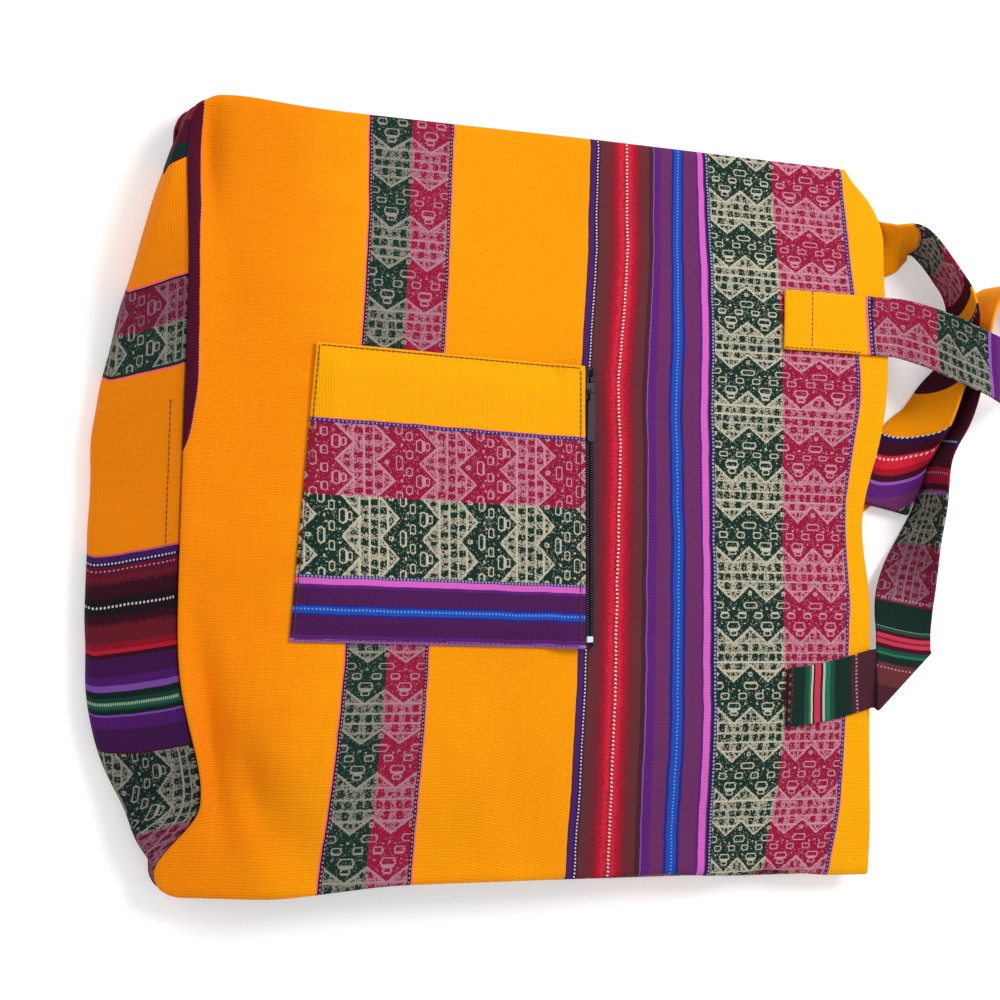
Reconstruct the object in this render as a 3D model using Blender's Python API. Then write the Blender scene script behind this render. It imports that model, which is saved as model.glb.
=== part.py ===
"""Woven tote bag lying on its back: striped panels, one gusset strip, a zipped patch pocket and two straps.

Metres, +Z up. +X runs from the bag's bottom to its mouth, +Y across it, +Z out of the front panel.
"""

import math

import bmesh
import bpy
from mathutils import Matrix, Vector

mm = 0.001

# Cloth and clearances
clothThick = 2.0 * mm
gap = 0.35 * mm
fineGap = 0.3 * mm
seamGap = 0.6 * mm

# Bag body
panelLength = 406 * mm
panelWidth = 406 * mm
seamX = -188 * mm
seamRise = 48 * mm
mouthRise = 17.5 * mm
cornerRadius = 15 * mm
upperCornerRise = 25 * mm
lowerCornerRise = 16 * mm
backSetback = 3 * mm
backShort = 7 * mm
foldReach = 37.5 * mm
pleatDepth = 42 * mm

# Patch pocket, seen with the mouth to the right
pocketWidth = 152 * mm
pocketDepthUpper = 149.5 * mm
pocketDepthLower = 164.5 * mm
pocketSkew = 9.4 * mm
pocketThick = 1.6 * mm
pocketSlack = 3.2 * mm

# Zip, its centre measured from the bottom seam and from the bag's middle line
zipFromSeam = 221.2 * mm
zipOffset = 3.5 * mm
zipTilt = math.radians(2.3)
chainLength = 136 * mm
chainStart = -69 * mm
coilWidth = 1.3 * mm
coilThick = 1.6 * mm
coilSlot = 1.3 * mm
tapeThick = 0.6 * mm
tapeLap = 10 * mm
sliderLength = 9 * mm
sliderWidth = 5.4 * mm
plateThick = 0.8 * mm
stopLength = 3.3 * mm
pullLength = 27 * mm
pullWidth = 4.4 * mm
pullThick = 1.2 * mm
barRadius = 0.45 * mm
eyeWall = 0.5 * mm

# Straps
strapWidth = 34 * mm
strapThick = 2.2 * mm
lapUpper = 67 * mm
lapLower = 56 * mm
lapBack = 56 * mm
strapUpperY = 113.5 * mm
strapLowerY = -100 * mm
lowerSkew = 11 * mm
foldRadius = 1.6 * mm

half = clothThick / 2
mouthX = seamX + panelLength
slope = (seamRise - mouthRise) / panelLength
levelOne = fineGap + strapThick / 2
levelTwo = levelOne + strapThick + fineGap
backLift = levelTwo + strapThick / 2 + fineGap
backSeamX = seamX - backSetback
backMouthX = backSeamX + panelLength - backShort
liftEnd = backMouthX - lapBack - 6 * mm
liftStart = liftEnd - 34 * mm
seamDrop = clothThick + seamGap
zipX = seamX + zipFromSeam


def ease(value):
    value = min(max(value, 0.0), 1.0)
    return value * value * (3 - 2 * value)


def bump(value):
    return math.exp(-value * value)


def mix(a, b, share):
    return a + (b - a) * share


def keyed(value, keys):
    """Smooth value through (place, value) pairs."""
    for (x0, y0), (x1, y1) in zip(keys, keys[1:]):
        if value <= x1:
            return mix(y0, y1, ease((value - x0) / (x1 - x0)))
    return keys[-1][1]


def material(name, colour, roughness=0.85, metallic=0.0):
    made = bpy.data.materials.new(name)
    made.use_nodes = True
    shader = made.node_tree.nodes["Principled BSDF"]
    shader.inputs["Base Color"].default_value = (*colour, 1)
    shader.inputs["Roughness"].default_value = roughness
    shader.inputs["Metallic"].default_value = metallic
    return made


def addMesh(name, verts, faces, mat):
    mesh = bpy.data.meshes.new(name)
    mesh.from_pydata([tuple(v) for v in verts], [], faces)
    mesh.materials.append(mat)
    ob = bpy.data.objects.new(name, mesh)
    bpy.context.scene.collection.objects.link(ob)
    return ob


def sheet(name, rows, thick, mat):
    """Closed cloth sheet: a grid of points thickened evenly to both sides."""
    count = len(rows[0])
    verts = [p for row in rows for p in row]
    faces = []
    for i in range(len(rows) - 1):
        for j in range(count - 1):
            a = i * count + j
            faces.append((a, a + count, a + count + 1, a + 1))
    ob = addMesh(name, verts, faces, mat)
    solid = ob.modifiers.new("Thickness", "SOLIDIFY")
    solid.thickness = thick
    solid.offset = 0
    ob.data.shade_smooth()
    return ob


def roundedCorner(x, y, startX):
    """Turns the square corners at the bottom of a panel into round ones."""
    inX = startX + cornerRadius - x
    inY = abs(y) - (panelWidth / 2 - cornerRadius)
    if inX > 0 and inY > 0:
        a = inX / cornerRadius
        b = inY / cornerRadius
        x = startX + cornerRadius - a * math.sqrt(1 - b * b / 2) * cornerRadius
        side = panelWidth / 2 - cornerRadius + b * math.sqrt(1 - a * a / 2) * cornerRadius
        y = math.copysign(side, y)
    return x, y


def seamShift(y):
    """The bottom seam is pulled in near its lower corner and a little at the upper one."""
    place = y + panelWidth / 2 - 48 * mm
    low = 18 * mm * bump(place / (47 * mm if place > 0 else 20 * mm))
    corner = -3 * mm * ease((-place - 15 * mm) / (20 * mm))
    high = 3 * mm * ease((y - panelWidth / 2 + 30 * mm) / (30 * mm))
    return low + corner + high


def droopShift(y):
    """How far the mouth's upper corner hangs back."""
    return -26 * mm * ease((y - panelWidth / 2 + 42 * mm) / (44 * mm)) ** 1.3


def mouthShift(y):
    """The mouth edge droops at the upper corner and buckles inward near the middle."""
    droop = droopShift(y)
    swell = 4 * mm * bump((y - 78 * mm) / (45 * mm))
    buckle = -6 * mm * bump((y - 2 * mm) / (32 * mm))
    flare = 5 * mm * ease((-y - 60 * mm) / (140 * mm))
    return droop + swell + buckle + flare


def sideRise(along, upper):
    """Height of the front panel along its side edges, from the bottom corner to the mouth."""
    corner = upperCornerRise if upper else lowerCornerRise
    least = backLift + clothThick + 2 * seamDrop + 2 * clothThick
    end = max(least, mouthRise - 2 * mm)
    return keyed(along, [(0, corner), (0.16, seamRise * 0.66), (0.4, seamRise * 0.6), (1, end)])


def frontHeight(x, y):
    """Middle surface of the front panel, flat where the pocket lies."""
    along = (x - seamX) / panelLength
    plane = mouthRise + slope * (mouthX - x)
    across = abs(y) / (panelWidth / 2)
    fall = (plane - sideRise(along, y > 0)) * ease((across - 0.5) / 0.5)
    nearMouth = ease((x - mouthX + 110 * mm) / (90 * mm))
    wave = 3.5 * mm * bump((y - 100 * mm) / (45 * mm)) - 3.5 * mm * bump((y - 2 * mm) / (38 * mm))
    return plane - fall + nearMouth * wave


def sideShift(x, y):
    """The side seams swell at the upper bottom corner and dent near the mouth's lower corner."""
    across = abs(y) / (panelWidth / 2)
    swell = 3.5 * mm * bump((x - seamX - 22 * mm) / (28 * mm)) if y > 0 else 0.0
    dent = 5 * mm * bump((x - mouthX + 62 * mm) / (26 * mm)) if y < 0 else 0.0
    draw = 5 * mm * ease((x - seamX - 50 * mm) / (80 * mm)) * ease((mouthX - 70 * mm - x) / (60 * mm))
    return (swell + dent + (draw if y < 0 else 0.0)) * across**4


def frontPoint(s, t):
    x, y = roundedCorner(seamX + s * panelLength, (t - 0.5) * panelWidth, seamX)
    z = frontHeight(x, y)
    y += sideShift(x, y)
    x += seamShift(y) * max(0.0, 1 - (x - seamX) / (90 * mm)) ** 2
    x += mouthShift(y) * ease((x - mouthX + 36 * mm) / (36 * mm))
    return Vector((x, y, z))


def backPoint(s, t):
    length = backMouthX - backSeamX
    x, y = roundedCorner(backSeamX + s * length, (t - 0.5) * panelWidth, backSeamX)
    lift = backLift * ease((x - liftStart) / (liftEnd - liftStart))
    x += droopShift(y) * ease((x - backMouthX + 26 * mm) / (26 * mm))
    return Vector((x, y, half + lift))


def grid(point, across, along):
    return [[point(s, t) for t in across] for s in along]


def even(count, low=0.0, high=1.0):
    return [mix(low, high, i / count) for i in range(count + 1)]


def rounded(points, radius, middle):
    """A run of points through a bent line whose corners are rounded."""
    out = [points[0]]
    for before, at, after in zip(points, points[1:], points[2:]):
        start = before - at
        end = after - at
        cut = min(radius, start.length * 0.45, end.length * 0.45)
        p0 = at + start.normalized() * cut if start.length > 0 else at
        p2 = at + end.normalized() * cut if end.length > 0 else at
        out.append(mix(out[-1], p0, 0.5) if middle else p0)
        for share in (0.0, 0.5, 1.0):
            out.append(p0 * (1 - share) ** 2 + at * 2 * share * (1 - share) + p2 * share**2)
    if middle:
        out.append(mix(out[-1], points[-1], 0.5))
    out.append(points[-1])
    return out


def gussetSection(s, t, outward, reach):
    """Across the strip, from the front panel's edge to the back panel's."""
    front = frontPoint(s, t) - outward * 0.5 * mm - Vector((0, 0, seamDrop))
    back = backPoint(s, t) - outward * 0.5 * mm + Vector((0, 0, seamDrop))
    share = ease(reach / foldReach)
    tuck = ease(-reach / pleatDepth)
    highFold = mix(front.z, mix(10 * mm, front.z - 0.6 * mm, tuck), max(share, tuck))
    lowFold = mix(back.z, mix(half + 0.6 * mm, back.z, tuck), max(share, tuck))
    lowFold = min(lowFold, highFold - clothThick - 1.4 * mm)
    base = mix(front, back, 0.5)
    high = front + outward * (reach + (base - front).dot(outward))
    low = back + outward * (reach + (base - back).dot(outward))
    high.z = highFold
    low.z = lowFold
    return rounded([front, high, low, back], 5 * mm, True)


def foldAt(y):
    """How far the strip's fold stands out along the bag's bottom."""
    top = panelWidth / 2
    lower = 1 - (1 - min(max((y + top - 17 * mm) / (75 * mm), 0.0), 1.0)) ** 2.2
    upper = 1 - min(max((y - top + 173 * mm) / (158 * mm), 0.0), 1.0) ** 1.35
    return foldReach * lower * upper


def stations():
    """Places along the panels and across them, shared by the seams."""
    length = backMouthX - backSeamX
    lifts = [(mix(liftStart, liftEnd, share) - backSeamX) / length for share in even(5)]
    along = [0, 0.02, 0.045, 0.08, 0.13, 0.19] + even(8, 0.26, lifts[0] - 0.03)
    along += lifts + [0.9, 0.935, 0.965, 1]
    edges = [0, 0.012, 0.03, 0.055, 0.09, 0.14, 0.2]
    across = edges + even(11, 0.26, 0.74) + [1 - e for e in reversed(edges)]
    return along, across


def sideRows(t, along):
    """Sections of the strip up one side of the bag, its middle tucked inward as a pleat."""
    rows = []
    turnEnd = cornerRadius / panelLength
    for s in along:
        tuck = -pleatDepth * ease((s - 0.02) * panelLength / (70 * mm))
        turn = math.radians(90) * ease(0.5 + 0.5 * s / turnEnd)
        outward = Vector((-math.cos(turn), math.copysign(math.sin(turn), t - 0.5), 0))
        rows.append(gussetSection(s, t, outward, tuck))
    return rows


def gussetRows():
    along, across = stations()
    rows = sideRows(1.0, list(reversed(along))[:-1])
    for t in reversed(across):
        y = (t - 0.5) * panelWidth
        near = (abs(y) - panelWidth / 2 + cornerRadius) / cornerRadius
        turn = math.radians(45) * ease(near)
        outward = Vector((-math.cos(turn), math.copysign(math.sin(turn), y), 0))
        rows.append(gussetSection(0.0, t, outward, foldAt(y)))
    return rows + sideRows(0.0, along[1:])


def buildBody(mats):
    along, across = stations()
    sheet("front_panel", grid(frontPoint, across, along), clothThick, mats["panel"])
    sheet("back_panel", grid(backPoint, across, along), clothThick, mats["back"])
    sheet("gusset_strip", gussetRows(), clothThick, mats["gusset"])


def zipFrame():
    """Frame on the front panel's upper face: X toward the mouth, Y along the zip, Z off the cloth."""
    tilt = Matrix.Rotation(math.atan(slope), 4, "Y")
    turn = Matrix.Rotation(zipTilt, 4, "Z")
    x, y = zipX, zipOffset
    top = Vector((x, y, frontHeight(x, y))) + (tilt @ Vector((0, 0, half, 1))).xyz
    return Matrix.Translation(top) @ tilt @ turn


def box(name, low, high, mat, frame):
    verts = [Vector((x, y, z)) for z in (low[2], high[2]) for y in (low[1], high[1]) for x in (low[0], high[0])]
    faces = [(0, 2, 3, 1), (4, 5, 7, 6), (0, 1, 5, 4), (2, 6, 7, 3), (0, 4, 6, 2), (1, 3, 7, 5)]
    ob = addMesh(name, verts, faces, mat)
    ob.matrix_world = frame
    return ob


def profile(name, outline, low, high, mat, frame):
    """Prism along the zip, from an outline in its X and Z."""
    count = len(outline)
    verts = [Vector((x, y, z)) for y in (low, high) for x, z in outline]
    faces = [tuple(range(count)), tuple(range(2 * count - 1, count - 1, -1))]
    for i in range(count):
        j = (i + 1) % count
        faces.append((i, i + count, j + count, j))
    mesh = bmesh.new()
    ob = addMesh(name, verts, faces, mat)
    mesh.from_mesh(ob.data)
    bmesh.ops.recalc_face_normals(mesh, faces=mesh.faces)
    mesh.to_mesh(ob.data)
    mesh.free()
    ob.matrix_world = frame
    return ob


def bevelled(ob, width, segments=2):
    bevel = ob.modifiers.new("Bevel", "BEVEL")
    bevel.width = width
    bevel.segments = segments
    bevel.limit_method = "ANGLE"
    return ob


lowLapTop = fineGap + tapeThick
plateLow = lowLapTop + fineGap
coilLow = plateLow + plateThick + fineGap
coilTop = coilLow + coilThick
tapeLow = coilLow + (coilThick - tapeThick) / 2
plateHigh = coilTop + fineGap
sliderTop = plateHigh + plateThick
coilOut = coilSlot / 2 + coilWidth
tapeIn = coilOut + fineGap
foldIn = max(sliderWidth / 2 + 0.4 * mm, tapeIn + 0.6 * mm)
foldOut = foldIn + tapeThick
pocketLift = tapeLow + tapeThick + fineGap
pocketEdgeX = -sliderWidth / 2 - fineGap
chainLow = chainStart
chainHigh = chainLow + chainLength
sliderY = chainHigh - sliderLength / 2


def buildPocket(mats, frame):
    """Patch pocket: sewn close to the panel on three sides, held up by the zip on the fourth."""
    rows = []
    upper = pocketWidth / 2
    for a in (0, 0.03, 0.06, 0.1, 0.15, 0.22, 0.32, 0.44, 0.56, 0.68, 0.78, 0.86, 0.93, 0.97, 1):
        row = []
        for b in (0, 0.03, 0.07, 0.12, 0.2, 0.35, 0.5, 0.65, 0.8, 0.88, 0.93, 0.97, 1):
            depth = mix(pocketDepthLower, pocketDepthUpper, b)
            y = mix(-upper, upper, b) + a * pocketSkew
            rim = min((1 - a) * depth, b * pocketWidth, (1 - b) * pocketWidth)
            puff = ease(rim / (14 * mm))
            lip = ease(1 - (a * depth - tapeLap - fineGap) / (12 * mm))
            z = gap + (pocketLift - gap) * max(lip, puff * pocketSlack / pocketLift)
            row.append(frame @ Vector((pocketEdgeX - a * depth, y, z + pocketThick / 2)))
        rows.append(row)
    sheet("front_pocket", rows, pocketThick, mats["pocket"])


def buildZip(mats, frame):
    tapeEnd = chainHigh + 8 * mm
    tapeStart = chainLow - stopLength - 2.5 * mm
    box("zip_tape_pocket", (-tapeIn - tapeLap, tapeStart, tapeLow), (-tapeIn, tapeEnd, tapeLow + tapeThick),
        mats["tape"], frame)
    lap = [(-tapeLap, fineGap), (foldOut, fineGap), (foldOut, tapeLow + tapeThick), (tapeIn, tapeLow + tapeThick),
           (tapeIn, tapeLow), (foldIn, tapeLow), (foldIn, lowLapTop), (-tapeLap, lowLapTop)]
    profile("zip_tape_panel", lap, tapeStart, tapeEnd, mats["tape"], frame)
    for name, side in (("pocket", -1), ("panel", 1)):
        xs = sorted((side * coilSlot / 2, side * coilOut))
        coil = box(f"zip_coil_{name}", (xs[0], chainLow, coilLow), (xs[1], chainHigh, coilTop), mats["coil"], frame)
        bevelled(coil, 0.35 * mm)
        stop = box(f"zip_top_stop_{name}", (xs[0], chainHigh + fineGap, coilLow - 0.1 * mm),
                   (xs[1], chainHigh + fineGap + 2.8 * mm, coilTop + 0.1 * mm), mats["metal"], frame)
        bevelled(stop, 0.25 * mm)
    stop = box("zip_bottom_stop", (-coilOut, chainLow - fineGap - stopLength, coilLow - 0.2 * mm),
               (coilOut, chainLow - fineGap, coilTop + 0.3 * mm), mats["stop"], frame)
    bevelled(stop, 0.5 * mm)


def joined(name, blocks, mat, frame):
    """One closed body from overlapping blocks, by exact union."""
    first = blocks[0]
    for other in blocks[1:]:
        cut = first.modifiers.new("Join", "BOOLEAN")
        cut.operation = "UNION"
        cut.object = other
    bpy.context.view_layer.update()
    mesh = bpy.data.meshes.new_from_object(first.evaluated_get(bpy.context.evaluated_depsgraph_get()))
    for block in blocks:
        bpy.data.objects.remove(block)
    mesh.name = name
    mesh.materials.clear()
    mesh.materials.append(mat)
    ob = bpy.data.objects.new(name, mesh)
    bpy.context.scene.collection.objects.link(ob)
    ob.matrix_world = frame
    return ob


def cylinder(name, radius, length, centre, mat, sides=16):
    """Round bar along X."""
    mesh = bpy.data.meshes.new(name)
    made = bmesh.new()
    turn = Matrix.Rotation(math.radians(90), 4, "Y")
    bmesh.ops.create_cone(made, cap_ends=True, segments=sides, radius1=radius, radius2=radius, depth=length,
                          matrix=Matrix.Translation(centre) @ turn)
    made.to_mesh(mesh)
    made.free()
    mesh.materials.append(mat)
    ob = bpy.data.objects.new(name, mesh)
    bpy.context.scene.collection.objects.link(ob)
    return ob


eyeHole = barRadius + fineGap
eyeRadius = eyeHole + eyeWall
barZ = sliderTop + fineGap + eyeRadius
eyeHalf = 1.0 * mm
earIn = eyeHalf + fineGap
earOut = earIn + 0.7 * mm


def buildSlider(mats, frame):
    """Two plates joined by a post in the slot between the coils, with ears and a bar for the pull."""
    origin = frame @ Matrix.Translation((0, sliderY, 0))
    w = sliderWidth / 2
    h = sliderLength / 2
    here = Matrix.Identity(4)
    lipIn = tapeIn
    blocks = [
        bevelled(box("a", (-w, -h, plateHigh), (w, h, sliderTop), mats["metal"], here), 0.3 * mm),
        bevelled(box("b", (-w, -h, plateLow), (w, h, plateLow + plateThick), mats["metal"], here), 0.2 * mm),
        box("c", (-coilSlot / 2 + fineGap, h - 2.6 * mm, plateLow + 0.2 * mm),
            (coilSlot / 2 - fineGap, h - 0.8 * mm, plateHigh + 0.2 * mm), mats["metal"], here),
    ]
    for side in (-1, 1):
        xs = sorted((side * lipIn, side * (w - 0.05 * mm)))
        blocks.append(box("d", (xs[0], -h + 0.5 * mm, tapeLow + tapeThick + fineGap),
                          (xs[1], h - 0.5 * mm, plateHigh + 0.2 * mm), mats["metal"], here))
        xs = sorted((side * earIn, side * earOut))
        blocks.append(bevelled(box("e", (xs[0], -1.1 * mm, sliderTop - 0.2 * mm),
                                   (xs[1], 1.1 * mm, barZ + 0.8 * mm), mats["metal"], here), 0.15 * mm, 1))
    blocks.append(cylinder("f", barRadius, 2 * earOut - 0.2 * mm, Vector((0, 0, barZ)), mats["metal"]))
    joined("zip_slider", blocks, mats["metal"], origin)


def buildPull(mats, frame):
    """Pull tab: an eye round the slider's bar, a neck and a flat tongue with rounded ends."""
    origin = frame @ Matrix.Translation((0, sliderY, barZ)) @ Matrix.Rotation(math.radians(3.5), 4, "X")
    here = Matrix.Identity(4)
    eye = cylinder("a", eyeRadius, 2 * eyeHalf, Vector((0, 0, 0)), mats["pull"], 20)
    neck = box("b", (-eyeHalf, -6 * mm, -pullThick / 2), (eyeHalf, -eyeHole - 0.1 * mm, pullThick / 2),
               mats["pull"], here)
    tongue = box("c", (-pullWidth / 2, -pullLength, -pullThick / 2), (pullWidth / 2, -5 * mm, pullThick / 2),
                 mats["pull"], here)
    rounding = tongue.modifiers.new("Round", "BEVEL")
    rounding.width = 1.3 * mm
    rounding.segments = 3
    rounding.limit_method = "WEIGHT"
    weight = tongue.data.attributes.new("bevel_weight_edge", "FLOAT", "EDGE")
    for edge in tongue.data.edges:
        a, b = (tongue.data.vertices[i].co for i in edge.vertices)
        weight.data[edge.index].value = 1.0 if abs(a.z - b.z) > pullThick / 2 else 0.0
    solid = joined("pull_blank", [eye, neck, tongue], mats["pull"], here)
    hole = cylinder("hole", eyeHole, 4 * eyeHalf, Vector((0, 0, 0)), mats["pull"], 20)
    cut = solid.modifiers.new("Eye", "BOOLEAN")
    cut.operation = "DIFFERENCE"
    cut.object = hole
    bpy.context.view_layer.update()
    mesh = bpy.data.meshes.new_from_object(solid.evaluated_get(bpy.context.evaluated_depsgraph_get()))
    bpy.data.objects.remove(solid)
    bpy.data.objects.remove(hole)
    mesh.name = "zip_pull"
    ob = bpy.data.objects.new("zip_pull", mesh)
    bpy.context.scene.collection.objects.link(ob)
    ob.matrix_world = origin


def curve(points, share):
    """Smooth point through a list of vectors, share from 0 to 1."""
    place = share * (len(points) - 1)
    i = min(int(place), len(points) - 2)
    u = place - i
    p0 = points[max(i - 1, 0)]
    p1, p2 = points[i], points[i + 1]
    p3 = points[min(i + 2, len(points) - 1)]
    return 0.5 * ((2 * p1) + (p2 - p0) * u + (2 * p0 - 5 * p1 + 4 * p2 - p3) * u**2
                  + (3 * p1 - p0 - 3 * p2 + p3) * u**3)


def sweep(places, sides, each):
    """Sections of a ribbon led through places, its width along sides."""
    count = (len(places) - 1) * each
    rows = []
    for i in range(count + 1):
        share = i / count
        at = curve(places, share)
        ahead = curve(places, min(share + 0.002, 1)) - curve(places, max(share - 0.002, 0))
        side = curve(sides, share)
        side = (side - ahead * (side.dot(ahead) / ahead.length_squared)).normalized()
        reach = side * strapWidth / 2
        lowest = fineGap + abs(reach.z) + strapThick / 2 * math.sqrt(max(0.0, 1 - side.z**2))
        at.z = max(at.z, lowest)
        rows.append([at + reach, at, at - reach])
    return rows


def crease(left, right, outward, rise, steps=6):
    """A fold: the ribbon turns over about the line from left to right."""
    radius = abs(rise) / 2
    rows = []
    for i in range(1, steps):
        angle = math.pi * i / steps
        shift = outward * (radius * math.sin(angle)) + Vector((0, 0, rise * (1 - math.cos(angle)) / 2))
        rows.append([left + shift, mix(left, right, 0.5) + shift, right + shift])
    return rows


def level(row, height):
    return [Vector((p.x, p.y, height)) for p in row]


def between(first, last, steps):
    """Flat sections from one to another, both left out."""
    return [[mix(a, b, i / steps) for a, b in zip(first, last)] for i in range(1, steps)]


def section(left, right):
    return [left, mix(left, right, 0.5), right]


def sewnRows(lap, middle):
    """Sections of a strap end sewn on the front panel, from its cut end to the mouth's edge."""
    rows = []
    w = strapWidth / 2
    lift = Vector((0, 0, half + gap + strapThick / 2))
    start = 1 - lap / panelLength
    for share in even(7):
        s = mix(start, 1.0, share)
        y = middle(share)
        rows.append([frontPoint(s, 0.5 + place / panelWidth) + lift for place in (y + w, y, y - w)])
    return rows


def vec(x, y, z):
    """A point given in millimetres past the mouth, from the middle line and above the floor."""
    return Vector((mouthX + x * mm, y * mm, z * mm))


def vectors(values):
    return [Vector(v) for v in values]


def frontStrapRows():
    w = strapWidth / 2
    up = strapUpperY / mm
    stand = w / mm + 0.7
    wider = (strapWidth - 34 * mm) / mm  # a wider strap crosses higher and runs further out
    out = 0.9 * wider
    rows = sewnRows(lapUpper, lambda share: strapUpperY)
    places = [
        rows[-1][1], vec(12, up - 1, 25), vec(31, up - 7, 33 + wider), vec(47, up - 15, 41 + 1.5 * wider),
        vec(66, up - 22, 42.5 + 1.5 * wider), vec(85, up - 28, 37 + wider), vec(101, up - 28, 26 + wider),
        vec(112, up - 20, stand + 1), vec(116, up - 6, stand),
        vec(112, up + 11, stand), vec(103, up + 23, stand), vec(91, up + 29, stand), vec(80, up + 29, stand),
        vec(71, up + 23, stand), vec(65.5, up + 11, stand), vec(63, up - 3, stand), vec(61 + out, up - 17, stand),
        vec(58 + out, up - 31, stand), vec(54.5 + out, up - 44, stand), vec(49.5 + out, up - 56, stand),
        vec(43.5 + out, up - 66, stand), vec(39.5 + out, up - 76, stand), vec(38.3 + out, up - 92, stand),
        vec(36.5 + out, up - 104, stand), vec(30 + out, up - 123, stand), vec(24.5 + out, up - 142, stand),
        vec(20.5 + out * 0.6, up - 159, 19.5), vec(19.5 + out * 0.6, up - 175, 21.5),
    ]
    sides = vectors([
        (0, 1, 0), (0, 1, 0.02), (0.1, 1, 0.06), (0.25, 0.95, 0.08), (0.32, 0.93, 0.1), (0.25, 0.8, 0.45),
        (0.02, 0.35, 0.93), (0, 0.05, 1), (0, 0, 1), (0, 0, 1), (0, 0, 1), (0, 0, 1), (0, 0, 1), (0, 0, 1), (0, 0, 1),
        (0, 0, 1), (0, 0, 1), (0, 0, 1), (0, 0, 1), (0, 0, 1), (0, 0, 1), (0, 0, 1), (0, 0, 1), (0.08, 0, 1),
        (0.3, 0, 0.95), (0.66, 0, 0.75), (0.91, 0.1, 0.38), (0.99, -0.04, 0.12),
    ])
    rows += sweep(places, sides, 2)[1:]
    sewn = list(reversed(sewnRows(lapLower, lambda share: strapLowerY + lowerSkew * share**1.5)))
    end = sewn[0]
    high = max(p.z for p in end) + 2 * foldRadius + 0.3 * mm
    middleY = end[1].y
    foldX = max(p.x for p in end) + w + 1.5 * mm
    upright = section(Vector((foldX + w, middleY + w, high)), Vector((foldX - w, middleY - w, high)))
    rows += between(rows[-1], upright, 3) + [upright]
    drop = -2 * foldRadius
    rows += crease(upright[0], upright[2], Vector((0.7071, -0.7071, 0)), drop)
    under = [p + Vector((0, 0, drop)) for p in upright]
    return rows + [under] + between(under, end, 5) + sewn


def foldedEnd(y, runIn):
    """Back strap end: from its cut end under the panel out to a diagonal fold and turned up along the mouth."""
    w = strapWidth / 2
    start = level([Vector((backMouthX - lapBack, y + k * w, 0)) for k in (1, 0, -1)], levelTwo)
    line = level(section(Vector((runIn, y + w, 0)), Vector((runIn - 2 * w, y - w, 0))), levelTwo)
    rows = [start] + between(start, line, 4) + [line]
    rows += crease(line[0], line[2], Vector((0.7071, -0.7071, 0)), levelOne - levelTwo)
    return rows + [level(line, levelOne)]


def backStrapRows():
    w = strapWidth / 2
    jog = 46.5 * mm
    runIn = backMouthX + 2 * mm
    rows = foldedEnd(strapUpperY, runIn)
    c1 = rows[-1]
    c2 = level([p + Vector((0, jog, 0)) for p in c1], levelOne)
    rows += between(c1, c2, 3) + [c2]
    rows += crease(c2[0], c2[2], Vector((-0.7071, 0.7071, 0)), levelTwo - levelOne)
    c2b = level(c2, levelTwo)
    up = (strapUpperY + jog) / mm
    edge = (backMouthX - mouthX) / mm
    two = levelTwo / mm
    out = [Vector((backMouthX, strapUpperY + jog + k * w, levelTwo)) for k in (1, 0, -1)]
    rows += [c2b] + between(c2b, out, 3)
    stand = w / mm + 0.7
    places = [
        out[1], vec(edge + 7, up, 5.3), vec(edge + 14, up + 0.3, 8.4), vec(edge + 21, up + 2.5, 12.4),
        vec(edge + 28, up + 5, 15.5), vec(edge + 34.5, up + 4, 17), vec(edge + 40, up, stand),
        vec(edge + 47, up - 7, stand), vec(edge + 54, up - 15, stand), vec(edge + 60.5, up - 23, stand),
        vec(edge + 64.5, up - 34, stand), vec(edge + 65, up - 48, stand), vec(edge + 61.5, up - 63, stand),
        vec(edge + 53, up - 78, 17.5), vec(edge + 44.5, up - 96, 14.5), vec(edge + 36.5, up - 107, 12.5),
        vec(edge + 30.5, up - 119, 9.5), vec(edge + 28.5, up - 131, 8.4),
    ]
    sides = vectors([
        (0, 1, 0), (0, 0.98, 0.18), (0, 0.9, 0.42), (-0.05, 0.7, 0.7), (-0.1, 0.5, 0.85), (-0.1, 0.25, 0.95),
        (-0.05, 0.1, 1), (0, 0, 1), (0, 0, 1), (0, 0, 1), (0, 0, 1), (0, 0, 1), (0.05, 0, 1), (0.3, 0, 0.95),
        (0.5, -0.11, 0.84), (0.72, -0.14, 0.66), (0.86, -0.25, 0.42), (0.92, -0.27, 0.25),
    ])
    rows += sweep(places, sides, 2)
    low = levelOne
    mid = levelTwo
    top = levelTwo + 2 * foldRadius
    c3 = section(vec(edge + 39.5, 8.1, top / mm), vec(edge + 4, 15.3, top / mm))
    rows += between(rows[-1], c3, 3) + [c3]
    rows += crease(c3[0], c3[2], Vector((-0.2, -0.98, 0)), mid - top)
    c3b = level(c3, mid)
    c4 = section(vec(edge + 38.4, 27.4, two), vec(edge + 1.6, 42.2, two))
    rows += [c3b] + between(c3b, c4, 3) + [c4]
    rows += crease(c4[0], c4[2], Vector((0.376, 0.927, 0)), low - mid)
    c4b = level(c4, low)
    turn = level(section(vec(edge + 2, -1, 0), vec(edge - 18, 26.5, 0)), low)
    runX = runIn - w
    straight = level(section(Vector((runX + w, -26 * mm, 0)), Vector((runX - w, -20 * mm, 0))), low)
    rows += [c4b] + between(c4b, turn, 4) + [turn] + between(turn, straight, 3) + [straight]
    last = list(reversed(foldedEnd(strapLowerY, runIn)))
    return rows + between(straight, last[0], 5) + last


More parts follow.
